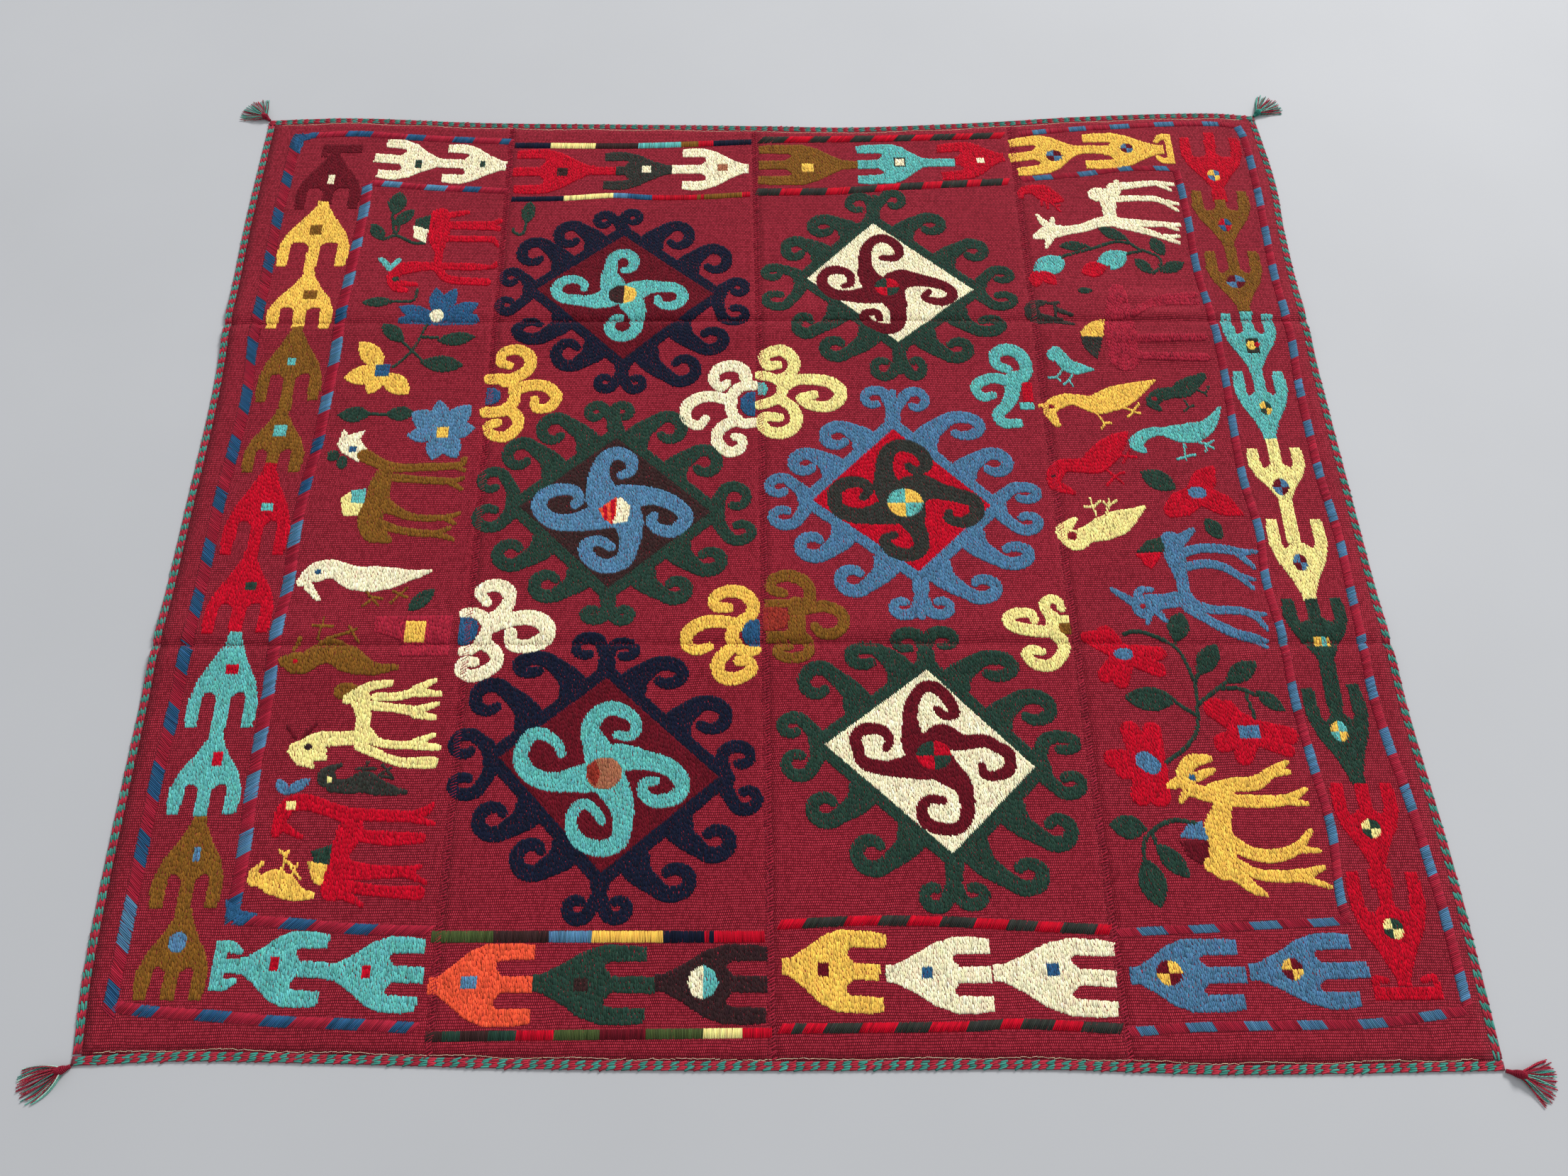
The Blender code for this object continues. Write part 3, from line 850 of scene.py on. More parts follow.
stripes.satin(
    13, 0, "crimson", ((-478, 649), (-383, 650), (-290, 656), (-217, 650), (-135, 650), (-36, 656)),
    (-478, -382, "navy"), (-382, -290, "pale yellow"), (-290, -262, "sky blue"), (-262, -217, "royal blue"),
    (-217, -135), (-135, -127, "olive"), (-127, -121), (-121, -50, "olive"), (-50, -36),
)
stripes.satin(
    17, 0, "navy", ((-474, -671), (-200, -674), (-13, -676)),
    (-474, -389, "leaf green"), (-389, -313, "dark brown"), (-313, -252, "sky blue"),
    (-252, -155, "golden"), (-155, -97), (-97, -91, "crimson"), (-91, -83), (-83, -12, "crimson"),
)
stripes.satin(
    14, 0, "crimson", ((-467, -800), (-240, -800), (-4, -800)),
    (-467, -447, "dark brown"), (-447, -422, "dark green"), (-422, -384, "dark brown"),
    (-384, -347, "dark green"), (-347, -297), (-297, -234, "leaf green"), (-234, -173, "maroon"),
    (-173, -97, "leaf green"), (-97, -44, "pale yellow"), (-44, -4),
)
stripes.satin(
    17, -37, "charcoal", ((-15, 790), (230, 791), (448, 796)),
    *by_turns(("charcoal", "crimson"), -15, 35, 82, 115, 159, 197, 242, 276, 312, 353, 388, 426, 449),
)
stripes.satin(
    18, -20, "charcoal", ((-23, 661), (107, 661), (199, 667), (245, 671), (448, 681)),
    *by_turns(("charcoal", "crimson"), -23, 22, 60, 107, 149, 199, 245, 288, 322, 370, 397, 438, 449),
)
stripes.satin(
    15, -30, "charcoal", ((8, -660), (120, -656), (230, -658), (300, -662), (380, -667), (467, -672)),
    *by_turns(("crimson", "charcoal"), 7, 43, 100, 147, 186, 233, 279, 325, 364, 400, 448, 468),
)
stripes.satin(
    14, -30, "charcoal", ((8, -795), (250, -795), (320, -792), (400, -796), (465, -800)),
    *by_turns(("crimson", "charcoal"), 8, 25, 40, 68, 116, 163, 208, 258, 304, 333, 374, 413, 466),
)
stripes.draw(
    Chart.fill, ("royal blue", (-768, -618), (-767, -640), (-742, -654), (-722, -638), (-745, -634)),
    ("royal blue", (-907, 776), (-906, 806), (-897, 811), (-868, 819), (-868, 806), (-888, 798),
     (-892, 765)),
)
stripes.sewn("embroidered_stripes", 40)

# In every row of kites the necks between them come first, then the kites, then the eyes sewn over them
kites_left = Chart()
kites_left.draw(Chart.block, ("maroon", -812, 777, 75, 20), ("maroon", -844, 763, 12, 12))
kites_left.draw(
    Chart.kite, ("maroon", (-823, 770), (-822, 630), 60, 0.92),
    ("golden", (-827, 647), (-829, 497), 64, 1.09), ("golden", (-828, 483), (-829, 358), 57),
    ("olive", (-828, 362), (-824, 210), 55, 1.13), ("olive", (-827, 193), (-827, 72), 50, 0.88),
    ("crimson", (-828, 88), (-831, -80), 53), ("crimson", (-832, -75), (-831, -216), 53),
    ("turquoise", (-828, -215), (-829, -366), 53, 1.06, 0.74),
    ("turquoise", (-829, -375), (-829, -496), 52, 1.03), ("olive", (-828, -500), (-828, -628), 50, 1.09),
    ("olive", (-823, -630), (-825, -750), 49),
)
kites_left.draw(
    Chart.block, ("ivory", -821, 701, 12, 22), ("olive", -831, 580, 21, 23), ("olive", -818, 432, 23, 20),
    ("turquoise", -828, 290, 14, 14), ("turquoise", -823, 151, 22, 22), ("turquoise", -820, 6, 19, 14),
    ("dark green", -822, -135, 17, 14), ("crimson", -822, -276, 19, 15), ("crimson", -820, -415, 14, 21),
    ("sky blue", -823, -554, 11, 20),
)
kites_left.disc("sky blue", (-825, -675), (13, 14))
kites_left.sewn("embroidered_kites_left", 41)

kites_top = Chart()
kites_top.draw(
    Chart.block, ("crimson", -308, 716, 48, 18), ("olive", 156, 725, 28, 17),
    ("turquoise", 322, 729, 60, 18), ("golden", 761, 758, 14, 73),
)
kites_top.draw(
    Chart.kite, ("ivory", (-617, 738), (-733, 752), 49, 1.12), ("ivory", (-496, 730), (-612, 738), 48, 1.1),
    ("crimson", (-328, 718), (-477, 715), 54, 1.04, 0.62), ("charcoal", (-183, 717), (-311, 715), 46, 0.82),
    ("ivory", (-39, 718), (-164, 718), 51, 1.15), ("olive", (152, 725), (-20, 727), 49, 1.0, 0.52),
    ("turquoise", (300, 729), (167, 725), 48, 1.0, 0.5),
    ("crimson", (445, 741), (322, 729), 45, 0.75, 0.55), ("golden", (593, 758), (463, 739), 47, 1.06, 0.55),
    ("golden", (750, 756), (598, 753), 44, 0.75, 0.62),
)
kites_top.draw(
    Chart.block, ("dark green", -662, 737, 14, 20), ("dark green", -541, 735, 12, 16),
    ("dark brown", -389, 714, 20, 20), ("ivory", -231, 719, 18, 16), ("rust", -87, 721, 20, 17),
    ("golden", 73, 719, 23, 20), ("charcoal", 247, 730, 23, 23), ("ivory", 247, 730, 17, 17),
    ("ivory", 400, 733, 15, 12),
)
kites_top.draw(
    Chart.quarters, ("mid blue", "maroon", 540, 743, 31, 27), ("mid blue", "maroon", 680, 760, 24, 24),
)
kites_top.strokes(
    "golden", (19, (590, 758), (650, 757)), ((13, 13, 8), (760, 788), (748, 787), (738, 776)),
    ((13, 13, 8), (760, 729), (746, 729), (736, 737)),
)
kites_top.sewn("embroidered_kites_top", 42)

kites_right = Chart()
kites_right.draw(
    Chart.block, ("crimson", 837, 641, 25, 26), ("pale yellow", 838, -40, 22, 76),
    ("dark green", 845, -316, 24, 70), ("crimson", 857, -606, 32, 26), ("crimson", 861, -760, 92, 15),
)
kites_right.draw(
    Chart.kite, ("crimson", (837, 650), (840, 784), 58, 1.1), ("olive", (834, 523), (837, 652), 53, 0.84),
    ("olive", (835, 375), (836, 511), 50, 1.08), ("turquoise", (835, 247), (837, 368), 47, 1.04),
    ("turquoise", (835, 115), (837, 250), 45), ("pale yellow", (838, -5), (836, 97), 47, 1.18),
    ("pale yellow", (842, -180), (844, -36), 47, 0.7), ("dark green", (845, -288), (844, -176), 49),
    ("dark green", (855, -470), (843, -321), 46, 0.85), ("crimson", (857, -597), (858, -470), 47),
    ("crimson", (858, -750), (859, -598), 53, 0.9),
)
kites_right.draw(
    Chart.block, ("charcoal", 838, 302, 22, 30), ("golden", 845, -249, 24, 15),
    ("turquoise", 850, -249, 8, 15),
)
kites_right.draw(Chart.disc, ("golden", (835, 303), (8, 9)), ("crimson", (845, 304), (5, 6)))
kites_right.draw(
    Chart.quarters, ("golden", "mid blue", 835, 691, 24, 28), ("crimson", "royal blue", 836, 572, 23, 30),
    ("maroon", "mid blue", 833, 442, 33, 30), ("golden", "dark green", 838, 176, 20, 28),
    ("maroon", "mid blue", 835, 24, 26, 31), ("mid blue", "maroon", 840, -113, 22, 30),
    ("golden", "turquoise", 844, -391, 25, 32), ("pale yellow", "dark green", 859, -536, 28, 27),
    ("pale yellow", "dark green", 859, -675, 28, 29),
)
kites_right.strokes(
    "crimson", (8, (819, -757), (820, -741), (834, -743)), (8, (902, -757), (900, -740), (885, -743)),
)
kites_right.sewn("embroidered_kites_right", 43)

kites_bottom = Chart()
kites_bottom.draw(Chart.block, ("turquoise", -763, -706, 17, 64), ("turquoise", -742, -707, 30, 17))
kites_bottom.draw(
    Chart.kite, ("turquoise", (-736, -707), (-618, -714), 49, 1.05, 0.58),
    ("turquoise", (-611, -716), (-484, -722), 49, 1.04, 0.62),
    ("orange", (-472, -736), (-330, -735), 53, 1.0, 0.55),
    ("dark green", (-331, -734), (-176, -738), 51, 1.08, 0.62),
    ("aubergine", (-163, -735), (-10, -739), 51, 1.0, 0.62),
    ("golden", (10, -716), (151, -726), 53, 0.95, 0.55), ("ivory", (152, -727), (297, -730), 49, 1.0, 0.66),
    ("ivory", (300, -727), (467, -737), 50, 1.0, 0.62),
    ("mid blue", (486, -733), (638, -733), 47, 1.05, 0.52),
    ("mid blue", (650, -730), (794, -729), 49, 1.13, 0.7),
)
kites_bottom.draw(
    Chart.block, ("crimson", -687, -705, 13, 19), ("crimson", -559, -717, 13, 17),
    ("sky blue", -417, -732, 20, 16), ("dark brown", -264, -737, 20, 17), ("maroon", 67, -720, 13, 18),
    ("royal blue", 209, -726, 15, 15), ("royal blue", 381, -724, 16, 17),
)
kites_bottom.draw(
    Chart.quarters, ("maroon", "golden", 540, -730, 36, 33), ("golden", "maroon", 709, -727, 29, 29),
)
kites_bottom.strokes(
    "turquoise", ((15, 14, 8), (-764, -683), (-750, -682), (-737, -688)),
    ((15, 14, 8), (-764, -731), (-750, -731), (-739, -727)),
)
kites_bottom.draw(
    Chart.fill, ("ivory", (-97, -713), (-113, -720), (-119, -735), (-112, -752), (-97, -757)),
    ("turquoise", (-97, -713), (-82, -721), (-76, -736), (-83, -751), (-97, -757)),
)
kites_bottom.sewn("embroidered_kites_bottom", 44)


# The lozenges
# Six great lozenges are worked on the two middle strips. Each has a dark band with four hooks to a side, a
# field of another wool and a whirl of four coiled arms round a small medallion.
BAND_WIDTH = 22
BAND_OUTSET = 10  # how far the band's corners stand out from the field's
CORNER_HOOK = (27, 20, 18, 16, 13)  # widths from root to tip
MIDDLE_HOOK = (52, 33, 23, 21, 19, 14)
MIDDLE_SHIFT = 24  # how far a middle hook's root is from its centre, along the side


def lozenge(band, field, corners, *sides):
    """A chart with a banded lozenge. Its corners and sides go round from the top by the left, and each side
    has four hooks, as centres and radii, the first and last of them at its corners."""
    chart = Chart()
    corners = np.array(corners, float)
    middle = corners.mean(axis=0)
    outer = [corner + (corner - middle) * BAND_OUTSET / np.hypot(*(corner - middle)) for corner in corners]
    for side, hooks in enumerate(sides):
        start, edge = outer[side], outer[(side + 1) % 4] - outer[side]
        way = (1, -1)[side % 2]
        chart.line(band, (start, start + edge), BAND_WIDTH)
        for k, (x, y, wide, high) in enumerate(hooks):
            if k in (0, 3):
                root = start + edge * (k > 0)
                chart.hook(band, root, (x, y), (wide - 2, high - 2), way, *CORNER_HOOK)
            else:
                share = np.dot((x, y) - start, edge) / np.dot(edge, edge)
                root = start + edge * (share - way * MIDDLE_SHIFT / np.hypot(*edge))
                chart.hook(band, root, (x, y), (wide - 1, high - 1), way, *MIDDLE_HOOK)
    chart.fill(field, *corners)
    return chart


lozenge_1 = lozenge(
    "navy", "maroon", ((-266, 560), (-416, 440), (-255, 288), (-100, 425)),
    ((-303, 595, 17, 17), (-363, 560, 26, 26), (-425, 520, 28, 28), (-463, 465, 18, 18)),
    ((-465, 405, 18, 18), (-415, 352, 32, 23), (-347, 302, 28, 28), (-283, 242, 17, 17)),
    ((-232, 240, 17, 17), (-153, 268, 28, 28), (-105, 327, 28, 23), (-63, 381, 25, 20)),
    ((-58, 437, 18, 18), (-102, 500, 29, 29), (-170, 555, 28, 28), (-252, 600, 17, 17)),
)
for root, centre, radii in (
    ((-280, 445), (-263, 495), (23, 25)), ((-285, 418), (-350, 440), (32, 26)),
    ((-245, 405), (-260, 358), (27, 27)), ((-240, 432), (-182, 417), (29, 25)),
):
    lozenge_1.hook("turquoise", root, centre, radii, -1, 45, 25, 21, 20, 14)
lozenge_1.disc("dark brown", (-264, 425), (23, 21))
lozenge_1.fill("golden", (-258, 446), (-240, 438), (-236, 425), (-242, 410), (-259, 404))
lozenge_1.sewn("embroidered_lozenge_1", 51)

lozenge_2 = lozenge(
    "dark green", "ivory", ((190, 583), (67, 458), (223, 317), (362, 430)),
    ((166, 628, 24, 22), (100, 575, 25, 20), (48, 523, 22, 22), (8, 471, 20, 15)),
    ((13, 412, 26, 20), (63, 357, 20, 22), (115, 308, 24, 20), (195, 267, 21, 22)),
    ((250, 267, 16, 22), (323, 303, 25, 20), (380, 353, 30, 17), (410, 407, 27, 18)),
    ((413, 460, 23, 16), (367, 516, 24, 20), (293, 577, 25, 20), (230, 636, 20, 21)),
)
lozenge_2.strokes("dark green", (12, (194, 590), (197, 645)), (12, (223, 317), (223, 258)))
lozenge_2.fill("ivory", (190, 583), (67, 458), (223, 317), (362, 430))
lozenge_2.strokes(
    "maroon",
    ((50, 26, 20, 19, 13), (195, 435), (177, 460), (172, 493), (177, 527), (197, 547), (220, 542),
     (235, 520), (227, 503), (203, 503)),
    ((50, 26, 20, 19, 13), (195, 425), (177, 420), (147, 417), (113, 423), (93, 447), (100, 470),
     (120, 477), (142, 467), (145, 447), (133, 440)),
    ((50, 26, 20, 19, 13), (225, 448), (240, 455), (285, 448), (315, 435), (325, 417), (310, 403),
     (287, 405), (275, 413), (282, 425)),
    ((55, 30, 24, 18, 13), (212, 430), (226, 387), (222, 353), (203, 345), (173, 360), (167, 377),
     (187, 380), (193, 367)),
)
lozenge_2.quarters("dark green", "crimson", 209, 437, 44, 40)
lozenge_2.sewn("embroidered_lozenge_2", 52)

lozenge_3 = lozenge(
    "dark green", "dark brown", ((-258, 130), (-410, 2), (-258, -145), (-98, -12)),
    ((-295, 180, 17, 17), (-362, 145, 26, 26), (-415, 97, 26, 26), (-457, 48, 24, 22)),
    ((-456, -15, 27, 23), (-415, -82, 26, 23), (-352, -137, 27, 23), (-278, -189, 19, 13)),
    ((-233, -190, 16, 14), (-153, -147, 22, 19), (-102, -97, 26, 20), (-52, -46, 25, 20)),
    ((-60, 13, 25, 25), (-112, 80, 26, 26), (-173, 145, 27, 27), (-250, 180, 17, 17)),
)
lozenge_3.strokes(
    "sky blue",
    ((55, 33, 26, 23, 16), (-277, 20), (-284, 55), (-276, 88), (-255, 100), (-233, 88), (-232, 66),
     (-246, 58)),
    ((55, 32, 26, 23, 16), (-250, 12), (-233, 17), (-193, 18), (-157, 3), (-138, -22), (-157, -45),
     (-182, -42), (-195, -27), (-190, -18)),
    ((55, 32, 26, 23, 16), (-238, -15), (-230, -30), (-227, -63), (-237, -97), (-267, -107), (-293, -90),
     (-297, -70), (-277, -62), (-257, -73)),
    ((55, 32, 26, 23, 16), (-262, -12), (-277, -17), (-317, -28), (-353, -25), (-377, -3), (-373, 20),
     (-350, 32), (-323, 30), (-313, 13), (-320, 4)),
)
lozenge_3.fill("orange", (-252, 18), (-280, -5), (-272, -22), (-258, -32), (-250, -13))
lozenge_3.strokes("crimson", (6, (-271, 0), (-268, -22)), (6, (-258, 11), (-257, -28)))
lozenge_3.fill("ivory", (-245, 17), (-229, 0), (-232, -28), (-258, -32), (-251, -13), (-251, 15))
lozenge_3.sewn("embroidered_lozenge_3", 53)

lozenge_4 = lozenge(
    "mid blue", "crimson", ((205, 142), (67, 8), (233, -122), (357, -5)),
    ((177, 202, 22, 20), (113, 127, 26, 22), (58, 77, 24, 20), (15, 33, 23, 19)),
    ((22, -20, 25, 19), (68, -73, 26, 22), (130, -133, 26, 23), (206, -183, 22, 17)),
    ((262, -183, 21, 17), (330, -150, 27, 20), (385, -92, 30, 19), (412, -35, 24, 18)),
    ((412, 15, 28, 16), (368, 72, 27, 22), (320, 143, 36, 23), (245, 197, 22, 22)),
)
lozenge_4.strokes("mid blue", (12, (205, 147), (208, 215)), (12, (233, -122), (233, -200)))
lozenge_4.fill("crimson", (205, 142), (67, 8), (233, -122), (357, -5))
lozenge_4.strokes(
    "charcoal",
    ((60, 31, 24, 23, 14), (207, 10), (190, 33), (187, 70), (197, 100), (220, 110), (247, 97), (257, 73),
     (240, 60), (227, 70)),
    ((58, 30, 25, 23, 14), (208, -6), (193, -13), (147, -22), (110, -10), (103, 20), (120, 38), (147, 40),
     (160, 27), (150, 12)),
    ((58, 30, 25, 23, 14), (230, 22), (247, 30), (273, 23), (307, 13), (330, 3), (333, -20), (313, -35),
     (288, -30), (288, -18)),
    ((58, 29, 25, 22, 14), (222, -8), (229, -33), (240, -63), (237, -83), (217, -93), (190, -83),
     (182, -65), (197, -57)),
)
lozenge_4.quarters("turquoise", "golden", 218, 2, 58, 52)
lozenge_4.sewn("embroidered_lozenge_4", 54)

lozenge_5 = lozenge(
    "navy", "maroon", ((-252, -295), (-405, -417), (-245, -587), (-80, -450)),
    ((-283, -247, 24, 20), (-363, -276, 29, 15), (-425, -328, 28, 25), (-455, -399, 23, 20)),
    ((-450, -457, 25, 18), (-403, -508, 27, 24), (-343, -563, 27, 25), (-275, -635, 19, 18)),
    ((-220, -635, 19, 17), (-143, -597, 28, 22), (-85, -543, 26, 22), (-40, -482, 22, 19)),
    ((-52, -421, 25, 20), (-97, -360, 32, 25), (-163, -292, 30, 20), (-228, -253, 23, 16)),
)
lozenge_5.strokes(
    "turquoise",
    ((50, 29, 23, 18, 13), (-252, -425), (-263, -400), (-273, -377), (-263, -353), (-240, -343),
     (-213, -355), (-203, -373), (-213, -387), (-232, -385)),
    ((50, 29, 25, 20, 13), (-258, -445), (-277, -450), (-323, -455), (-357, -443), (-373, -417),
     (-363, -387), (-343, -382), (-320, -397), (-313, -413)),
    ((50, 29, 25, 20, 13), (-242, -430), (-227, -420), (-183, -425), (-150, -437), (-133, -460),
     (-143, -480), (-173, -485), (-190, -472), (-188, -458), (-172, -455)),
    ((50, 29, 23, 18, 13), (-240, -455), (-223, -483), (-217, -513), (-223, -543), (-247, -553),
     (-277, -543), (-292, -520), (-288, -497), (-273, -488), (-257, -500), (-248, -513)),
)
lozenge_5.disc("rust", (-248, -443), (26, 24))
lozenge_5.fill("brick", (-262, -422), (-275, -432), (-273, -450), (-260, -464), (-253, -443))
lozenge_5.sewn("embroidered_lozenge_5", 55)

lozenge_6 = lozenge(
    "dark green", "ivory", ((235, -288), (77, -403), (255, -565), (385, -440)),
    ((208, -243, 23, 18), (143, -267, 28, 18), (70, -307, 26, 25), (30, -375, 21, 17)),
    ((38, -430, 24, 22), (77, -497, 24, 21), (142, -562, 27, 25), (227, -623, 20, 19)),
    ((280, -622, 21, 17), (358, -595, 27, 21), (407, -533, 25, 22), (433, -465, 23, 18)),
    ((427, -407, 29, 15), (390, -353, 32, 23), (337, -287, 33, 19), (262, -240, 23, 16)),
)
lozenge_6.strokes("dark green", (12, (235, -283), (235, -237)), (12, (253, -573), (253, -613)))
lozenge_6.fill("ivory", (235, -288), (77, -403), (255, -565), (385, -440))
lozenge_6.strokes(
    "maroon",
    ((48, 24, 18, 19, 12), (222, -420), (208, -397), (207, -350), (223, -320), (243, -315), (263, -333),
     (273, -357), (257, -360), (247, -350)),
    ((48, 24, 18, 19, 12), (225, -435), (207, -437), (167, -440), (133, -430), (125, -407), (123, -393),
     (137, -380), (163, -382), (173, -397), (167, -410)),
    ((48, 24, 18, 19, 12), (240, -405), (253, -393), (280, -402), (313, -400), (333, -410), (348, -420),
     (347, -443), (327, -453), (310, -450), (307, -438)),
    ((48, 24, 18, 19, 12), (245, -435), (260, -450), (277, -467), (282, -500), (270, -527), (243, -530),
     (220, -520), (215, -500), (227, -487), (247, -489)),
)
lozenge_6.quarters("dark green", "crimson", 238, -421, 52, 44)
lozenge_6.sewn("embroidered_lozenge_6", 56)


# The horned motifs
# Eight small motifs of three curled horns round a coloured core stand between the lozenges, against the
# seams.
horns = Chart()
horns.strokes(
    "golden", ((20, 21, 21), (-482, 250), (-450, 248), (-437, 231), (-437, 205), (-452, 186), (-482, 183)),
    ((21, 21, 15), (-455, 244), (-419, 266), (-416, 293), (-437, 309), (-462, 303), (-466, 284),
     (-450, 277)),
    ((21, 21, 15), (-438, 226), (-412, 236), (-383, 233), (-365, 213), (-375, 192), (-397, 190),
     (-402, 207)),
    ((21, 20, 15), (-446, 192), (-428, 172), (-428, 150), (-447, 134), (-470, 140), (-475, 156),
     (-460, 162)),
)
horns.fill(
    "royal blue", (-485, 232), (-472, 231), (-462, 224), (-459, 214), (-463, 204), (-473, 199), (-485, 198),
)
horns.strokes(
    "ivory",
    ((18, 20, 18), (-28, 232), (-50, 229), (-65, 213), (-69, 193), (-60, 166), (-45, 156), (-28, 158)),
    ((21, 21, 14), (-40, 232), (-46, 262), (-66, 272), (-90, 265), (-98, 245), (-86, 228), (-74, 237)),
    ((20, 21, 14), (-66, 200), (-96, 210), (-122, 207), (-142, 190), (-142, 165), (-122, 152), (-110, 166)),
    ((20, 20, 14), (-57, 164), (-84, 146), (-90, 122), (-72, 101), (-52, 106), (-48, 124), (-60, 130)),
)
horns.fill("royal blue", (-27, 218), (-40, 216), (-50, 206), (-52, 193), (-48, 180), (-38, 172), (-27, 170))
horns.strokes(
    "pale yellow", (18, (-18, 252), (0, 248), (17, 237), (20, 218), (8, 202), (-18, 192)),
    ((18, 22, 16), (10, 243), (28, 250), (38, 262), (41, 278), (33, 293), (17, 303), (-10, 292), (-5, 272),
     (13, 273)),
    ((19, 23, 16), (20, 226), (43, 241), (70, 243), (103, 236), (120, 213), (103, 190), (72, 190),
     (52, 204), (74, 212)),
    ((19, 22, 16), (17, 204), (38, 184), (43, 158), (27, 139), (0, 138), (-15, 153), (-10, 168), (14, 167)),
)
horns.fill("turquoise", (-22, 238), (-10, 236), (-4, 225), (-9, 213), (-22, 211))
horns.strokes(
    "turquoise", ((28, 26, 23), (418, 242), (414, 222), (410, 205), (405, 195)),
    ((23, 23, 16), (425, 240), (437, 250), (440, 270), (430, 291), (407, 300), (388, 288), (391, 269),
     (408, 260)),
    ((21, 19, 15), (412, 233), (385, 242), (362, 236), (350, 222), (360, 204), (378, 207)),
    ((21, 20, 16), (412, 205), (400, 186), (384, 168), (393, 152), (417, 151)),
)
horns.draw(
    Chart.block, ("turquoise", 434, 185, 26, 13), ("turquoise", 434, 241, 16, 12),
    ("crimson", 438, 213, 18, 38),
)
horns.strokes(
    "ivory",
    ((16, 20, 16), (-479, -187), (-464, -186), (-449, -194), (-440, -209), (-446, -230), (-462, -247),
     (-475, -250)),
    ((21, 22, 15), (-440, -200), (-420, -184), (-411, -160), (-422, -142), (-443, -139), (-459, -150),
     (-446, -168)),
    ((21, 26, 19), (-440, -212), (-405, -198), (-370, -196), (-348, -213), (-352, -232), (-376, -243),
     (-400, -239), (-404, -222)),
    ((20, 20, 15), (-448, -233), (-427, -250), (-421, -268), (-438, -284), (-460, -290), (-476, -280),
     (-470, -267), (-455, -268)),
)
horns.fill(
    "royal blue", (-485, -194), (-470, -193), (-459, -200), (-454, -214), (-459, -230), (-470, -238),
    (-485, -238),
)
horns.strokes(
    "golden", ((19, 21, 16), (-40, -200), (-55, -213), (-62, -230), (-55, -247), (-38, -256), (-25, -253)),
    ((20, 21, 16), (-38, -205), (-29, -180), (-43, -158), (-70, -153), (-89, -164), (-88, -179),
     (-68, -182)),
    ((20, 21, 16), (-50, -212), (-75, -206), (-107, -207), (-130, -224), (-131, -243), (-115, -252),
     (-98, -246)),
    ((20, 20, 15), (-55, -243), (-74, -260), (-84, -278), (-76, -296), (-53, -298), (-32, -286),
     (-36, -272), (-52, -271)),
)
horns.fill(
    "royal blue", (-19, -203), (-34, -203), (-43, -211), (-47, -225), (-43, -239), (-34, -247), (-19, -247),
)
horns.draw(Chart.block, ("olive", 13, -175, 50, 13), ("olive", 6, -232, 32, 17))
horns.strokes(
    "olive", (28, (38, -178), (39, -203), (37, -230)),
    ((19, 20, 15), (45, -183), (58, -168), (58, -148), (45, -133), (23, -127), (2, -134), (-1, -150),
     (18, -157)),
    ((19, 19, 15), (46, -187), (77, -181), (102, -189), (112, -207), (99, -226), (77, -227), (66, -216)),
    ((18, 16, 14), (40, -228), (56, -243), (52, -262), (28, -267), (9, -260), (12, -248), (25, -248)),
)
horns.fill("brick", (-15, -181), (10, -181), (25, -190), (28, -203), (20, -216), (0, -222), (-15, -222))
horns.draw(Chart.block, ("pale yellow", 450, -207, 22, 12), ("olive", 449, -223, 22, 17))
horns.strokes(
    "pale yellow", (21, (434, -204), (434, -228)),
    ((16, 16, 13), (438, -203), (427, -192), (426, -180), (438, -172), (449, -178), (451, -188)),
    ((18, 19, 14), (433, -228), (407, -226), (377, -220), (366, -207), (380, -196), (402, -197),
     (407, -208)),
    ((18, 18, 14), (436, -232), (449, -247), (443, -267), (426, -282), (403, -281), (389, -267),
     (398, -257), (412, -260)),
)
horns.sewn("embroidered_horns", 60)


# The left garden
# Down the left strip stand animals, birds and flowers, each drawn in a few free shapes, and on their sides as
# the strip was turned to work them.
garden = Chart()

# A sprig over a red animal with its head down, and a bud and a leaf beside it
garden.leaves(
    "dark green", ((-692, 615), (-688, 669), 34), ((-690, 588), (-656, 626), 25),
    ((-703, 555), (-732, 593), 24),
)
garden.strokes(
    "dark green", (5, (-696, 617), (-688, 573)), (5, (-680, 588), (-683, 567)),
    (5, (-703, 557), (-682, 565), (-650, 548), (-630, 547)),
)
garden.strokes(
    "crimson", ((34, 40, 34, 15, 14), (-607, 611), (-605, 580), (-604, 552), (-600, 525), (-600, 500)),
    ((16, 12, 9), (-600, 609), (-570, 616), (-558, 618)), ((17, 20), (-590, 588), (-512, 586)),
    (11, (-515, 588), (-496, 597)), (11, (-515, 584), (-497, 579)), ((13, 12), (-590, 557), (-505, 555)),
    ((12, 10, 5), (-512, 555), (-501, 550), (-494, 538)),
    ((14, 16, 6), (-600, 495), (-505, 491), (-494, 500)),
    ((14, 16, 15), (-598, 488), (-574, 464), (-507, 457)),
    ((16, 19, 26, 24, 18, 10), (-598, 494), (-637, 493), (-668, 486), (-676, 466), (-668, 447),
     (-650, 440)),
    ((12, 8), (-660, 456), (-632, 453)),
)
garden.disc("dark green", (-671, 466), (6, 6))
garden.draw(
    Chart.fill, ("dark green", (-651, 602), (-625, 612), (-625, 578), (-652, 588)),
    ("ivory", (-653, 588), (-625, 578), (-627, 547), (-651, 561)),
)
garden.strokes(
    "turquoise", ((8, 11, 8), (-703, 511), (-692, 500), (-685, 487)),
    ((9, 11, 8), (-671, 508), (-679, 496), (-685, 487)),
)
garden.leaf("dark green", (-447, 591), (-443, 643), 26)
garden.strokes("dark green", (5, (-447, 593), (-448, 577), (-455, 565), (-467, 570), (-470, 577)))

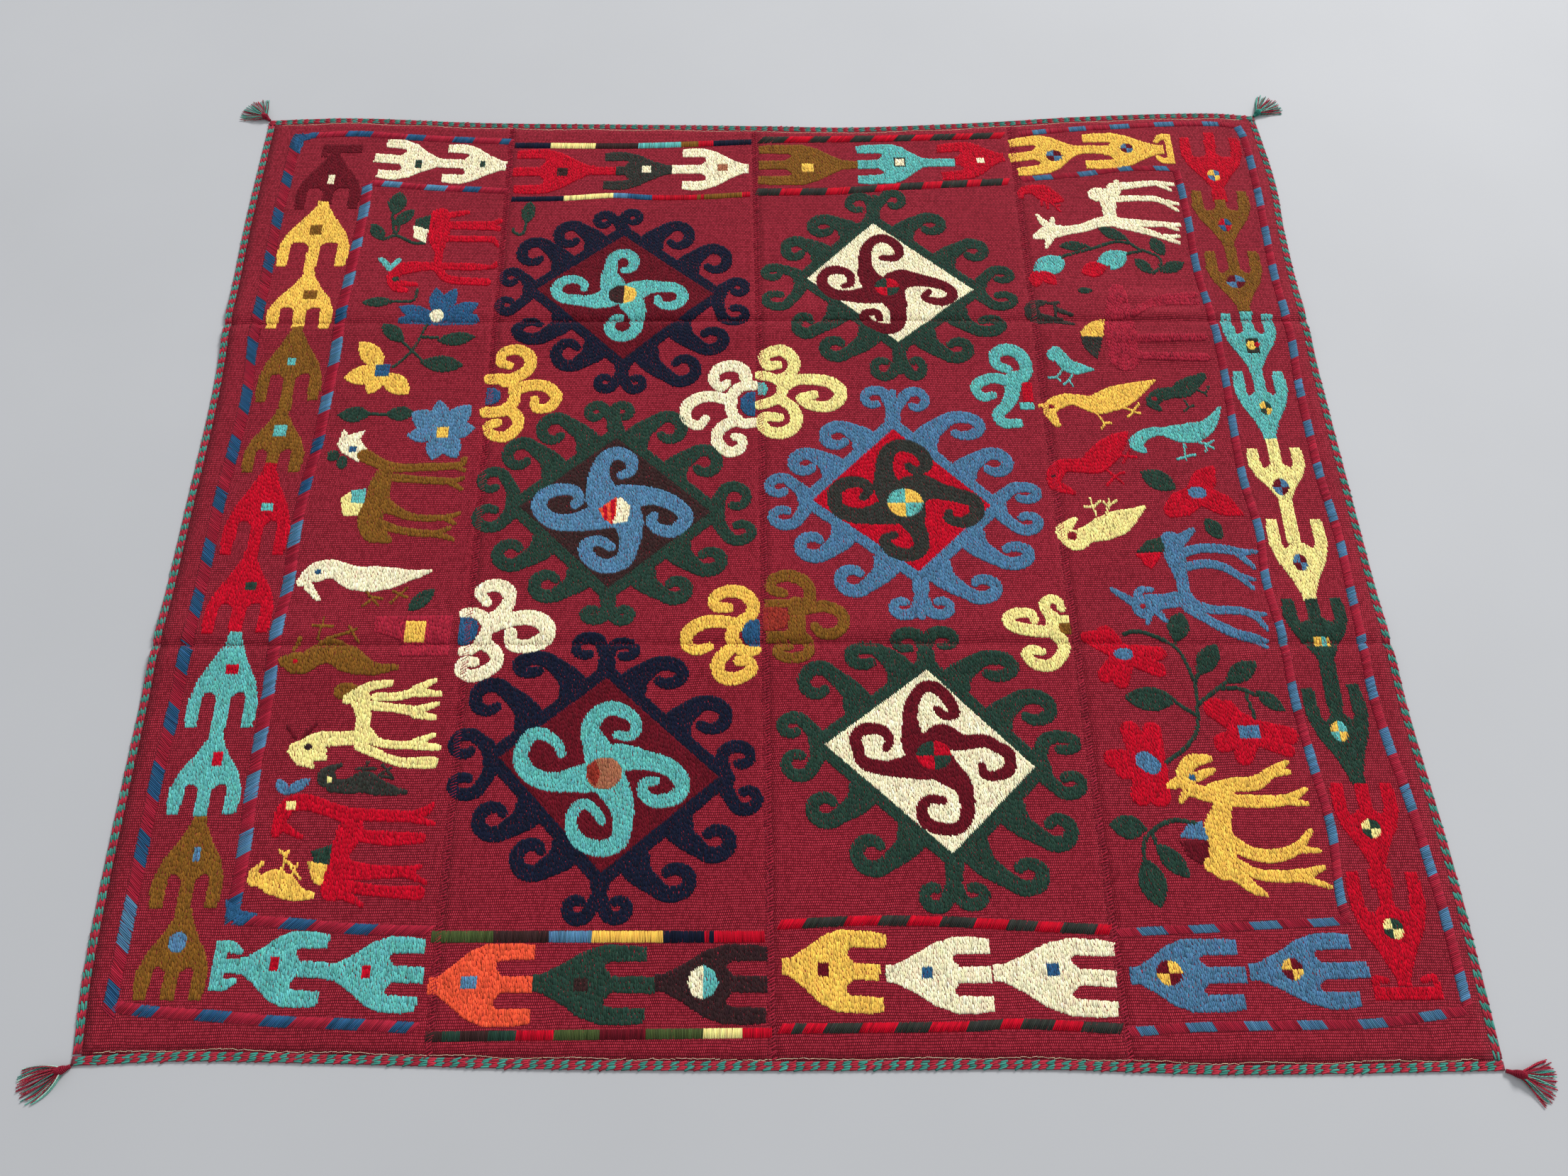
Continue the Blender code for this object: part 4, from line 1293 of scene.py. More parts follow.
# A royal blue flower and its leaves
garden.leaf("dark green", (-667, 415), (-723, 413), 21)
garden.strokes("dark green", (4, (-668, 415), (-637, 415), (-630, 423), (-629, 442)))
garden.leaf("royal blue", (-588, 376), (-656, 402), 28)
garden.strokes("royal blue", ((12, 32, 20), (-648, 374), (-590, 378), (-522, 374)))
garden.leaves(
    "royal blue", ((-572, 378), (-516, 408), 32), ((-588, 385), (-594, 445), 26),
    ((-580, 385), (-560, 443), 28),
)
garden.disc("ivory", (-587, 383), (12, 13))
garden.strokes(
    "dark green", (4, (-602, 365), (-610, 337), (-622, 310), (-640, 287), (-652, 276)),
    (4, (-640, 327), (-620, 308), (-601, 288)), (4, (-608, 337), (-580, 335)),
)
garden.leaves(
    "dark green", ((-638, 327), (-681, 368), 27), ((-580, 329), (-515, 336), 26),
    ((-605, 286), (-530, 278), 32),
)

# A golden flower, and two leaves under it
garden.leaves(
    "golden", ((-668, 275), (-714, 328), 36), ((-664, 268), (-732, 254), 38),
    ((-668, 262), (-616, 222), 36), ((-672, 266), (-686, 222), 30),
)
garden.block("royal blue", -669, 270, 25, 24)
garden.leaves("dark green", ((-676, 182), (-731, 180), 30), ((-651, 181), (-602, 183), 27))
garden.strokes("dark green", (4, (-678, 182), (-650, 180)))

# A sky blue flower
garden.leaves(
    "sky blue", ((-552, 150), (-607, 184), 40), ((-553, 146), (-563, 208), 32),
    ((-552, 146), (-508, 198), 38), ((-552, 146), (-498, 152), 34), ((-551, 148), (-522, 94), 36),
    ((-553, 146), (-563, 91), 34), ((-552, 144), (-610, 138), 30),
)
garden.block("golden", -551, 144, 20, 21)

# An olive long-necked animal with an ivory head
garden.fill(
    "ivory", (-683, 88), (-714, 107), (-724, 122), (-717, 152), (-708, 140), (-681, 149), (-688, 133),
    (-672, 111),
)
garden.block("royal blue", -697, 113, 11, 11)
garden.draw(Chart.disc, ("dark green", (-728, 101), (10, 10)), ("dark green", (-711, 88), (9, 12)))
garden.strokes(
    "olive", ((24, 18, 16), (-676, 101), (-640, 82), (-612, 76)),
    ((14, 14, 9), (-616, 76), (-522, 80), (-508, 92)), ((10, 6), (-522, 79), (-506, 70)),
    ((14, 12, 13, 6), (-620, 58), (-570, 53), (-525, 51), (-506, 56)), ((11, 6), (-527, 49), (-508, 35)),
    ((24, 34, 40, 42, 36, 9), (-636, 74), (-642, 45), (-643, 15), (-650, -15), (-642, -40), (-614, -57)),
    ((22, 14, 11, 10, 5), (-624, 4), (-590, -13), (-557, -18), (-525, -16), (-506, -9)),
    ((10, 6), (-527, -18), (-513, -28)),
    ((16, 12, 12, 7), (-632, -28), (-595, -40), (-545, -46), (-520, -36)),
    ((12, 6), (-540, -46), (-511, -57)),
)
garden.draw(
    Chart.fill, ("turquoise", (-687, 34), (-663, 38), (-664, 10), (-686, 12)),
    ("pale yellow", (-687, 33), (-703, 20), (-695, -12), (-671, -11), (-665, 10), (-686, 12)),
)

# An ivory bird
garden.strokes(
    "ivory",
    ((14, 34, 29, 39, 44, 34, 16, 4), (-744, -130), (-727, -115), (-697, -107), (-660, -123), (-620, -125),
     (-590, -122), (-560, -117), (-541, -112)),
    ((14, 6), (-730, -138), (-711, -160)),
)
garden.disc("royal blue", (-719, -112), (5, 5))
garden.strokes(
    "olive", (3, (-637, -148), (-615, -172)), (3, (-633, -155), (-610, -160)),
    (3, (-640, -172), (-623, -157)), (3, (-575, -142), (-597, -167)), (3, (-595, -147), (-572, -158)),
)

# A leaf, and a kite in the ground's own red
garden.leaf("dark green", (-568, -181), (-531, -144), 24)
garden.fill(
    "stripe red", (-618, -190), (-496, -190), (-496, -256), (-572, -256), (-574, -229), (-614, -216),
)
garden.block("golden", -551, -216, 32, 34)

# An olive bird on its back
garden.strokes(
    "olive",
    ((14, 34, 30, 38, 38, 42, 34, 22, 14, 8), (-747, -264), (-735, -265), (-715, -267), (-700, -256),
     (-685, -247), (-668, -250), (-650, -260), (-630, -270), (-605, -277), (-574, -275)),
    (6, (-728, -227), (-735, -245)),
)
garden.disc("crimson", (-729, -264), (4, 4))
garden.strokes(
    "olive", (3, (-696, -193), (-700, -227)), (3, (-712, -205), (-680, -207)),
    (3, (-687, -227), (-653, -217)), (3, (-655, -207), (-637, -233)), (3, (-662, -220), (-642, -212)),
)

# A pale yellow animal
garden.disc("olive", (-645, -312), (19, 13))
garden.strokes(
    "pale yellow", ((15, 14, 10), (-642, -324), (-612, -306), (-580, -300)),
    ((30, 22, 24, 22), (-622, -325), (-614, -350), (-613, -375), (-610, -395)),
    ((12, 12, 13), (-600, -322), (-565, -321), (-535, -312)), ((14, 6), (-540, -311), (-512, -296)),
    ((14, 8), (-540, -314), (-503, -318)), ((13, 12, 15), (-605, -335), (-563, -340), (-532, -346)),
    ((14, 6), (-537, -344), (-504, -333)), ((14, 8), (-537, -348), (-507, -355)),
    ((18, 11, 11, 13), (-605, -378), (-587, -392), (-553, -397), (-527, -396)),
    ((13, 6), (-532, -394), (-505, -382)), ((13, 9), (-532, -397), (-497, -401)),
    ((14, 12, 18), (-604, -402), (-553, -422), (-503, -424)),
    ((22, 20, 22, 32, 10), (-615, -385), (-645, -386), (-672, -388), (-690, -398), (-712, -398)),
)
garden.fill(
    "pale yellow", (-719, -405), (-702, -425), (-675, -431), (-679, -419), (-658, -418), (-664, -396),
    (-700, -390),
)
garden.disc("aubergine", (-689, -398), (5.5, 5.5))
garden.strokes("maroon", (6, (-725, -367), (-710, -383)), (6, (-683, -362), (-700, -383)))

# A charcoal bird
garden.disc("charcoal", (-655, -444), (13, 15))
garden.strokes(
    "charcoal", ((10, 5), (-652, -432), (-637, -426)),
    ((18, 20, 32, 24, 14, 5), (-645, -457), (-620, -458), (-600, -452), (-580, -459), (-560, -464),
     (-536, -468)),
)
garden.disc("pale yellow", (-650, -448), (4, 5))
garden.strokes(
    "charcoal", (3, (-612, -432), (-585, -432)), (3, (-605, -440), (-597, -422)),
    (3, (-577, -443), (-557, -447)), (3, (-575, -427), (-560, -443)), (3, (-580, -443), (-563, -432)),
)

# A red animal with blue ears
garden.leaves("mid blue", ((-728, -447), (-706, -470), 15), ((-678, -447), (-711, -467), 16))
garden.strokes(
    "crimson",
    ((12, 22, 24, 22, 20, 22), (-715, -526), (-711, -500), (-700, -483), (-675, -482), (-645, -491),
     (-615, -502)),
    ((14, 10, 6), (-708, -515), (-695, -523), (-679, -531)),
    ((30, 38, 27, 34, 38), (-609, -505), (-609, -525), (-617, -550), (-619, -578), (-620, -603)),
    ((17, 15), (-600, -500), (-517, -504)), ((13, 14, 6), (-522, -502), (-505, -497), (-494, -486)),
    ((12, 6), (-522, -506), (-491, -514)), ((16, 20, 14), (-597, -530), (-553, -535), (-506, -535)),
    ((26, 18, 14), (-606, -578), (-577, -582), (-513, -582)), ((10, 5), (-520, -581), (-502, -575)),
    ((12, 6), (-520, -584), (-492, -598)), ((16, 14, 19), (-607, -600), (-563, -608), (-501, -612)),
    ((15, 6), (-609, -610), (-578, -628)),
)
garden.block("pale yellow", -700, -485, 14, 12)
garden.draw(
    Chart.fill, ("dark green", (-660, -553), (-631, -543), (-632, -572), (-653, -569)),
    ("golden", (-664, -567), (-634, -571), (-638, -600), (-651, -595)),
)

# A golden bird
garden.disc("golden", (-735, -590), (9, 11))
garden.strokes(
    "golden", ((12, 34, 32, 18, 7), (-728, -594), (-708, -594), (-690, -601), (-670, -611), (-649, -614)),
    ((10, 5), (-740, -583), (-727, -568)), (3, (-698, -580), (-695, -553)), (3, (-705, -550), (-695, -560)),
    (3, (-692, -552), (-697, -562), (-683, -573)), (3, (-683, -587), (-677, -570)),
    (3, (-687, -573), (-670, -590)),
)
garden.sewn("embroidered_garden_left", 61)


# The right garden
# Down the right strip runs a second row of birds, beasts and flowers with a winding stem, drawn as freely.
grove = Chart()

# A small red bird
grove.strokes(
    "crimson",
    ((10, 16, 22, 36, 30, 8), (468, 643), (470, 655), (487, 661), (507, 655), (523, 643), (543, 635)),
    (3, (505, 636), (505, 622)), (3, (515, 632), (515, 614)), (3, (523, 627), (537, 608)),
    (3, (530, 620), (538, 622)),
)

# An ivory long-necked animal over a flowering branch
grove.disc("ivory", (613, 647), (20, 16))
grove.strokes(
    "ivory", ((34, 24, 8), (630, 640), (647, 664), (650, 678)),
    ((18, 14, 12, 7), (640, 665), (687, 670), (717, 673), (755, 670)), ((11, 6), (728, 671), (748, 656)),
    ((14, 12, 12, 6), (636, 636), (690, 637), (723, 633), (754, 607)), ((11, 6), (728, 630), (757, 623)),
    ((32, 26, 26), (628, 640), (628, 618), (628, 590)), ((18, 14, 8), (636, 582), (693, 577), (752, 573)),
    ((11, 6), (725, 575), (747, 562)), ((16, 13, 7), (640, 576), (693, 557), (745, 532)),
    ((11, 6), (720, 546), (747, 547)), ((24, 20, 17, 20), (634, 584), (603, 580), (573, 568), (525, 560)),
    ((26, 28, 8), (530, 562), (508, 558), (484, 548)), ((16, 14, 5), (518, 566), (502, 584), (494, 599)),
    ((14, 6), (518, 572), (521, 592)), ((16, 7), (515, 552), (503, 526)),
)
grove.strokes(
    "dark green",
    (5, (522, 500), (557, 512), (590, 522), (627, 535), (653, 532), (673, 517), (703, 500), (703, 477),
     (688, 463)),
    (5, (643, 553), (660, 527)), (5, (647, 508), (677, 515)), (5, (570, 530), (583, 522)),
)
grove.leaves(
    "dark green", ((575, 527), (527, 527), 21), ((648, 542), (603, 568), 24), ((713, 503), (697, 544), 27),
    ((688, 463), (660, 496), 22), ((702, 467), (747, 486), 24),
)
grove.disc("dark green", (561, 425), (12, 7))
grove.leaves("turquoise", ((474, 470), (527, 502), 34), ((500, 462), (533, 496), 22))
grove.leaves("crimson", ((480, 472), (474, 434), 26), ((485, 470), (513, 440), 24))
grove.leaves("turquoise", ((590, 486), (647, 511), 32), ((612, 472), (646, 508), 22))
grove.leaf("crimson", (606, 480), (560, 466), 34)

# A charcoal bird
grove.strokes(
    "charcoal",
    ((8, 18, 27, 21, 13, 12, 6), (486, 399), (468, 394), (461, 380), (470, 366), (490, 362), (512, 359),
     (531, 352)),
    (5, (503, 366), (502, 397)), (5, (494, 396), (511, 398)), ((10, 6), (505, 382), (531, 371)),
)

# An animal in the ground's own red
grove.strokes(
    "stripe red", ((26, 44, 56, 50), (618, 426), (613, 372), (611, 325), (613, 280)),
    (14, (640, 372), (690, 402), (752, 413)), (14, (650, 385), (700, 396), (752, 396)),
    (14, (640, 318), (752, 320)), (15, (635, 285), (752, 279)),
)
grove.draw(
    Chart.fill, ("golden", (588, 363), (570, 360), (552, 346), (541, 331), (541, 325), (579, 322)),
    ("charcoal", (541, 325), (579, 322), (572, 300), (565, 280), (556, 287), (546, 302), (541, 316)),
)

# A small turquoise bird
grove.disc("turquoise", (492, 288), (13, 13))
grove.strokes(
    "turquoise", ((20, 26, 24, 4), (495, 295), (507, 275), (520, 262), (554, 258)),
    (3, (502, 257), (490, 243), (477, 242)), (3, (490, 243), (497, 235)),
    (3, (520, 250), (512, 237), (502, 228)), (3, (512, 237), (517, 225)),
)

# A golden bird
grove.strokes(
    "golden",
    ((3, 20, 36, 46, 42, 28, 20, 26, 22, 10), (657, 234), (633, 221), (607, 208), (580, 197), (550, 187),
     (523, 195), (503, 197), (480, 187), (472, 173), (482, 148)),
    ((10, 6), (472, 186), (457, 185)),
)
grove.disc("madder", (475, 183), (5, 5))
grove.strokes(
    "golden", (3, (552, 167), (560, 150), (555, 138)), (3, (560, 150), (572, 150)),
    (3, (597, 180), (613, 172), (603, 162)), (3, (613, 172), (625, 188)), (3, (613, 172), (623, 168)),
)

# A dark green bird
grove.strokes(
    "dark green",
    ((14, 24, 34, 20, 24, 22, 10), (742, 242), (720, 227), (697, 212), (678, 208), (660, 203), (647, 190),
     (657, 177)),
)
grove.disc("madder", (652, 197), (4.5, 4.5))
grove.strokes(
    "dark green", (3, (703, 193), (707, 180), (700, 172)), (3, (707, 180), (718, 183)),
    (3, (723, 218), (740, 208), (748, 220)), (3, (740, 208), (742, 202)),
)

# A turquoise bird
grove.strokes(
    "turquoise",
    ((4, 16, 26, 38, 32, 14, 18, 24, 12), (760, 178), (747, 157), (727, 137), (697, 128), (670, 130),
     (643, 132), (620, 122), (608, 107), (620, 97)),
    (3, (689, 107), (688, 77)), (3, (673, 78), (688, 83), (705, 87)),
    (3, (712, 113), (727, 105), (737, 98)), (3, (738, 113), (727, 105), (723, 93)),
)

# A red bird
grove.strokes(
    "crimson",
    ((3, 30, 44, 44, 26, 22, 28, 20, 8), (598, 132), (577, 113), (557, 93), (533, 72), (507, 68), (483, 68),
     (468, 53), (467, 33), (495, 17)),
)
grove.disc("aubergine", (465, 48), (4, 3))
grove.strokes(
    "crimson", (3, (553, 60), (567, 45), (578, 33)), (3, (583, 55), (567, 47), (550, 30)),
    (3, (573, 87), (607, 83)), (3, (597, 97), (583, 72)),
)

# A red flower between two leaves
grove.leaf("dark green", (609, 55), (663, 23), 36)
grove.strokes(
    "crimson", ((40, 38, 12), (700, 18), (712, 40), (727, 59)),
    ((38, 44, 26), (688, 6), (664, -8), (650, -17)), ((38, 38, 6), (708, 8), (735, -8), (762, -25)),
)
grove.disc("mid blue", (696, 15), (15.5, 11))
grove.leaf("dark green", (702, -33), (723, -69), 27)

# A pale yellow bird on its back
grove.strokes(
    "pale yellow",
    ((4, 22, 42, 42, 28, 34, 24, 9), (607, -10), (587, -23), (557, -40), (527, -52), (507, -60), (487, -70),
     (470, -53), (490, -33)),
)
grove.disc("madder", (483, -62), (8, 8))
grove.strokes(
    "pale yellow", (3, (527, -25), (523, -10), (520, 7)), (3, (523, -10), (510, -9)),
    (3, (523, -10), (535, 1)), (3, (543, -24), (548, -9), (551, 5)), (3, (548, -9), (562, 2)),
    (3, (548, -9), (541, 0)),
)

# A blue horned animal
grove.strokes(
    "mid blue", ((8, 18, 26), (678, -53), (657, -70), (643, -80)),
    ((32, 34, 24, 18, 28), (640, -72), (643, -100), (647, -137), (647, -167), (651, -180)),
    ((14, 15, 15, 13, 6), (648, -97), (680, -87), (717, -87), (747, -93), (773, -93)),
    ((12, 7), (742, -95), (765, -120)),
    ((14, 14, 14, 12, 6), (650, -120), (687, -113), (717, -120), (740, -137), (758, -158)),
    ((10, 6), (736, -134), (761, -142)), ((26, 24, 28), (647, -173), (620, -177), (590, -180)),
)
grove.disc("mid blue", (580, -187), (18, 20))
grove.strokes(
    "mid blue", ((14, 8), (567, -180), (535, -157)), ((14, 11, 8), (572, -172), (580, -158), (596, -157)),
    ((14, 8), (596, -190), (611, -211)), ((14, 8), (586, -198), (582, -214)),
)
grove.disc("madder", (579, -186), (4.5, 4.5))
grove.strokes(
    "mid blue", ((20, 14, 13, 12, 7), (650, -181), (687, -193), (723, -195), (747, -202), (765, -227)),
    ((11, 6), (742, -201), (766, -202)),
    ((18, 14, 16, 14, 7), (650, -190), (680, -213), (713, -233), (740, -242), (758, -256)),
    ((12, 6), (736, -238), (761, -247)),
)
grove.draw(
    Chart.fill, ("dark green", (584, -91), (600, -73), (625, -66), (629, -91)),
    ("crimson", (581, -96), (623, -92), (617, -104), (602, -121), (592, -113)),
)

# Three red flowers on a winding stem
grove.strokes(
    "crimson", ((32, 34, 14), (530, -258), (505, -243), (482, -237)), ((30, 26), (528, -255), (514, -232)),
    ((28, 22), (550, -264), (592, -265)), ((28, 22), (552, -272), (588, -292)),
    ((32, 24), (534, -272), (507, -299)), ((32, 26), (537, -275), (529, -307)),
)
grove.disc("mid blue", (538, -266), (15, 10))
grove.strokes(
    "dark green",
    (5, (543, -233), (557, -229), (580, -233), (617, -253), (633, -287), (640, -320), (638, -357),
     (632, -387), (617, -407), (603, -420), (576, -437)),
    (5, (618, -253), (622, -243)), (5, (647, -300), (640, -313)),
    (5, (687, -313), (673, -323), (640, -347)), (5, (673, -322), (707, -323), (730, -333)),
    (5, (715, -333), (722, -367)), (5, (607, -343), (633, -363)),
)
grove.leaves(
    "dark green", ((620, -245), (637, -198), 34), ((647, -300), (684, -251), 31),
    ((688, -312), (739, -281), 29), ((730, -327), (769, -358), 22), ((608, -340), (531, -335), 37),
)
grove.strokes(
    "crimson", ((38, 32), (704, -382), (664, -353)), ((30, 22), (692, -372), (684, -352)),
    ((32, 26), (720, -388), (768, -397)), ((30, 20), (720, -396), (762, -419)),
    ((40, 26), (706, -396), (695, -428)), ((32, 28), (702, -396), (668, -407)),
)
grove.block("mid blue", 710, -390, 30, 20)
grove.strokes(
    "crimson", ((42, 28), (548, -430), (532, -386)), ((36, 28), (560, -428), (565, -388)),
    ((36, 28), (545, -436), (502, -429)), ((34, 26), (545, -442), (516, -447)),
    ((40, 30), (550, -446), (536, -484)), ((40, 34), (560, -446), (562, -484)),
)
grove.strokes("mid blue", (27, (547, -432), (557, -440)))

# A golden horned animal
grove.strokes(
    "golden", ((10, 20, 22), (643, -430), (616, -435), (602, -452)), ((8, 14), (645, -448), (620, -458)),
    ((20, 8), (600, -463), (577, -471)), ((14, 7), (606, -474), (592, -493)),
    ((24, 20, 22, 24), (603, -463), (613, -477), (633, -483), (660, -483)),
)
grove.disc("royal blue", (614, -459), (5, 5))
grove.strokes(
    "golden", ((14, 20, 20, 15, 6), (640, -474), (673, -470), (707, -467), (733, -450), (756, -437)),
    ((12, 6), (728, -454), (758, -452)),
    ((16, 18, 16, 6), (648, -492), (707, -495), (747, -492), (776, -478)),
    ((12, 6), (742, -494), (774, -499)),
    ((26, 28, 42, 40, 38), (655, -488), (648, -510), (640, -533), (640, -560), (639, -587)),
    ((20, 18, 18, 14, 6), (652, -551), (680, -569), (713, -573), (747, -563), (772, -538)),
    ((12, 6), (742, -564), (778, -567)),
    ((18, 14, 16, 16, 6), (650, -580), (683, -598), (717, -602), (750, -600), (779, -590)),
    ((12, 6), (745, -603), (783, -617)),
    ((20, 20, 18, 6), (620, -585), (655, -600), (675, -618), (692, -628)),
)
grove.draw(
    Chart.fill, ("mid blue", (583, -545), (596, -528), (617, -523), (623, -550)),
    ("maroon", (582, -551), (623, -552), (620, -570), (608, -583), (590, -573)),
)

# A sprig of three leaves
grove.leaves(
    "dark green", ((537, -533), (484, -527), 34), ((547, -555), (588, -602), 28),
    ((528, -575), (541, -643), 39),
)
grove.strokes(
    "dark green",
    (5, (607, -525), (580, -521), (557, -528), (543, -538), (533, -547), (528, -563), (528, -577)),
    (5, (543, -538), (548, -555)),
)
grove.sewn("embroidered_garden_right", 62)


# The braid
# A flat braid of two colours of wool yarn is sewn along all four edges. Its pointed plaits lie in four rows,
# red and sea green by turns, and a thin cream thread catches it down along the top and bottom edges.
BRAID_CORE_THICKNESS = 0.0022
BRAID_MESH_STEP = 0.006
BRAID_ROWS = 4
BRAID_ROW_STEP = 0.0027
PLAIT = (0.0034, 0.0118, 0.0016)  # width, length, height
PLAIT_PITCH = 0.0104
PLAIT_END_GAP = 0.003
PLAIT_RED = dyed("#A62A3A")
PLAIT_GREEN = dyed("#3D8577")
CREAM_THREAD = dyed("#D9C7A8")
THREAD_INSET = 0.0140
THREAD_STITCH = (0.0009, 0.0088, 0.0007)
THREAD_PITCH = 0.0074
THREAD_END_GAP = 0.03

braid_core, shader, start = new_material("braid core")
place = start.node("ShaderNodeTexCoord", output="Object")
strands = start.node("ShaderNodeTexNoise", {}, {"Vector": place, "Scale": 420.0, "Detail": 3.0})
tone = start.node(
    "ShaderNodeValToRGB",
    {"stops": ((0.3, (*dyed("#4A1420"), 1)), (0.7, (*dyed("#8A2435"), 1)))},
    {"Fac": strands},
)
start.tree.links.new(tone.socket, shader.inputs["Base Color"])
relief = start.node("ShaderNodeBump", {}, {"Height": strands, "Distance": 0.0006, "Strength": 0.8})
start.tree.links.new(relief.socket, shader.inputs["Normal"])
shader.inputs["Roughness"].default_value = 0.92
plait_wool = wool_material("plait wool")

for name, table, inward, axis, drift in (
    ("top", TOP_EDGE, -1.0, "x", 0.0), ("bottom", BOTTOM_EDGE, 1.0, "x", 0.0),
    ("left", LEFT_EDGE, 1.0, "y", 0.06), ("right", RIGHT_EDGE, -1.0, "y", 0.06),
):
    chance = np.random.default_rng(len(name))
    low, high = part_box(f"binding_{name}")
    start_at, end_at = (low.x, high.x) if axis == "x" else (low.y, high.y)
    steps = int((end_at - start_at) / BRAID_MESH_STEP)
    along = np.linspace(start_at, end_at, steps)
    offsets = np.linspace(0.0, BRAID_WIDTH, 4) * inward
    rows = []
    for offset in offsets if inward > 0 else offsets[::-1]:
        across = smooth(table, along) + offset
        x, y = (along, across) if axis == "x" else (across, along)
        rows.append(np.stack([x, y, lift(x, y)], axis=-1))
    shape = bpy.data.meshes.new(f"braid_{name}")
    faces = [
        (r * steps + c, r * steps + c + 1, (r + 1) * steps + c + 1, (r + 1) * steps + c)
        for r in range(len(rows) - 1)
        for c in range(steps - 1)
    ]
    if axis == "y":
        faces = [face[::-1] for face in faces]
    shape.from_pydata(np.concatenate(rows).tolist(), [], faces)
    core = new_piece(f"braid_{name}", shape, braid_core)
    body = core.modifiers.new("thickness", "SOLIDIFY")
    body.thickness = BRAID_CORE_THICKNESS
    body.offset = 1.0
    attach(core, "root")
    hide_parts(f"binding_{name}")

    places = []
    for row in range(BRAID_ROWS):
        offset = BRAID_WIDTH / 2 + (row - (BRAID_ROWS - 1) / 2) * BRAID_ROW_STEP
        shift = (0.25 * (row % 2) + drift * row) * PLAIT_PITCH
        first = int(start_at / PLAIT_PITCH) - 1
        last = int(end_at / PLAIT_PITCH) + 2
        for k in range(first, last):
            spot = k * PLAIT_PITCH + shift
            if start_at + PLAIT_END_GAP < spot < end_at - PLAIT_END_GAP:
                places.append((spot, offset * inward, k % 2))
    spot, offset, green = np.array(places).T
    spot = spot + chance.normal(0, 0.0005, len(spot))
    across = smooth(table, spot) + offset + chance.normal(0, 0.0002, len(spot))
    x, y = (spot, across) if axis == "x" else (across, spot)
    angle = (-math.pi / 2 if axis == "x" else 0.0) + chance.normal(0.16, 0.10, len(spot))
    size = np.array(PLAIT) * chance.normal(1.0, 0.07, (len(spot), 3))
    dye = np.where(green[:, None] > 0, PLAIT_GREEN, PLAIT_RED) * chance.normal(1.0, 0.13, (len(spot), 1))
    ground = lift(x, y) + BRAID_CORE_THICKNESS
    plaits = sew(f"braid_{name}_plaits", x, y, size, angle, dye, plait_wool, height=ground, lean=0.08)
    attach(plaits, "root")

    if axis == "x":
        spot = np.arange(start_at + THREAD_END_GAP, end_at - THREAD_END_GAP, THREAD_PITCH)
        wander = 0.0012 * np.sin(spot * 41.0) + chance.normal(0, 0.0004, len(spot))
        across = smooth(table, spot) + inward * (THREAD_INSET + wander)
        size = np.array(THREAD_STITCH) * chance.normal(1.0, 0.10, (len(spot), 3))
        angle = -math.pi / 2 + chance.normal(0, 0.09, len(spot))
        dye = varied(CREAM_THREAD, len(spot), chance, 0.08)
        thread = sew(f"thread_{name}", spot, across, size, angle, dye, plait_wool, seed=3)
        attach(thread, "root")


# The tassels
# At each corner the braid's ends are twisted together and bound, and a bundle of two-ply yarn ends is knotted
# in. The ends fan out and lie on the floor.
TASSELS = (  # name, knot distance, aim, half spread, flare, reach, red share of the yarns, knot colour
    ("top_left", 0.012, 142.0, 46.0, 0.20, 0.050, 0.45, "#8E1F33"),
    ("top_right", 0.010, 40.0, 38.0, 0.15, 0.052, 0.45, "#3F8F80"),
    ("bottom_left", 0.012, 206.0, 21.0, 1.20, 0.058, 0.55, "#8E1F33"),
    ("bottom_right", 0.018, -16.0, 41.0, 0.00, 0.047, 0.72, "#8E1F33"),
)
TASSEL_STRANDS = 40
NECK_RADIUS = 0.0032
KNOT_RADIUS = 0.0058
COLLAR_RADIUS = 0.0050
ROOT_SPREAD = 0.84
LAYER_HEIGHTS = (0.0022, 0.0050, 0.0078)
LAYER_LANDINGS = (0.40, 0.92, 1.00)
PLY_RADIUS = 0.00048
PLY_SIDES = 4
PLY_TWIST = 0.0062  # length of one full twist
RING_STEP = 0.0013
WRAP_PITCH = 0.0016
WRAP_STEP = 0.42  # radians from one ring of a winding to the next
TASSEL_REDS = ("#8E1F33", "#A52A3C", "#6E1626")
TASSEL_GREENS = ("#3F8F80", "#5FA896", "#2F7468")
PALE_GREEN = "#A9C9B8"


def tube(route, radius, dye):
    """A round tube along places in space, as points, faces and the dye of every point."""
    route = np.array(route)
    ahead = np.gradient(route, axis=0)
    ahead /= np.linalg.norm(ahead, axis=1)[:, None]
    aside = np.cross(ahead, (0.31, 0.27, 0.91))
    aside /= np.linalg.norm(aside, axis=1)[:, None]
    above = np.cross(aside, ahead)
    turns = np.arange(PLY_SIDES) * math.tau / PLY_SIDES
    taper = np.ones(len(route)) * radius
    taper[[0, -1]] *= 0.4
    ring = aside[:, None] * np.cos(turns)[None, :, None] + above[:, None] * np.sin(turns)[None, :, None]
    points = (route[:, None] + ring * taper[:, None, None]).reshape(-1, 3)
    faces = [tuple(range(PLY_SIDES))]
    for r in range(len(route) - 1):
        for s in range(PLY_SIDES):
            t = (s + 1) % PLY_SIDES
            here, there = r * PLY_SIDES, (r + 1) * PLY_SIDES
            faces.append((here + s, there + s, there + t, here + t))
    last = (len(route) - 1) * PLY_SIDES
    faces.append(tuple(last + s for s in reversed(range(PLY_SIDES))))
    return points, faces, np.broadcast_to(dye, (len(points), 3))


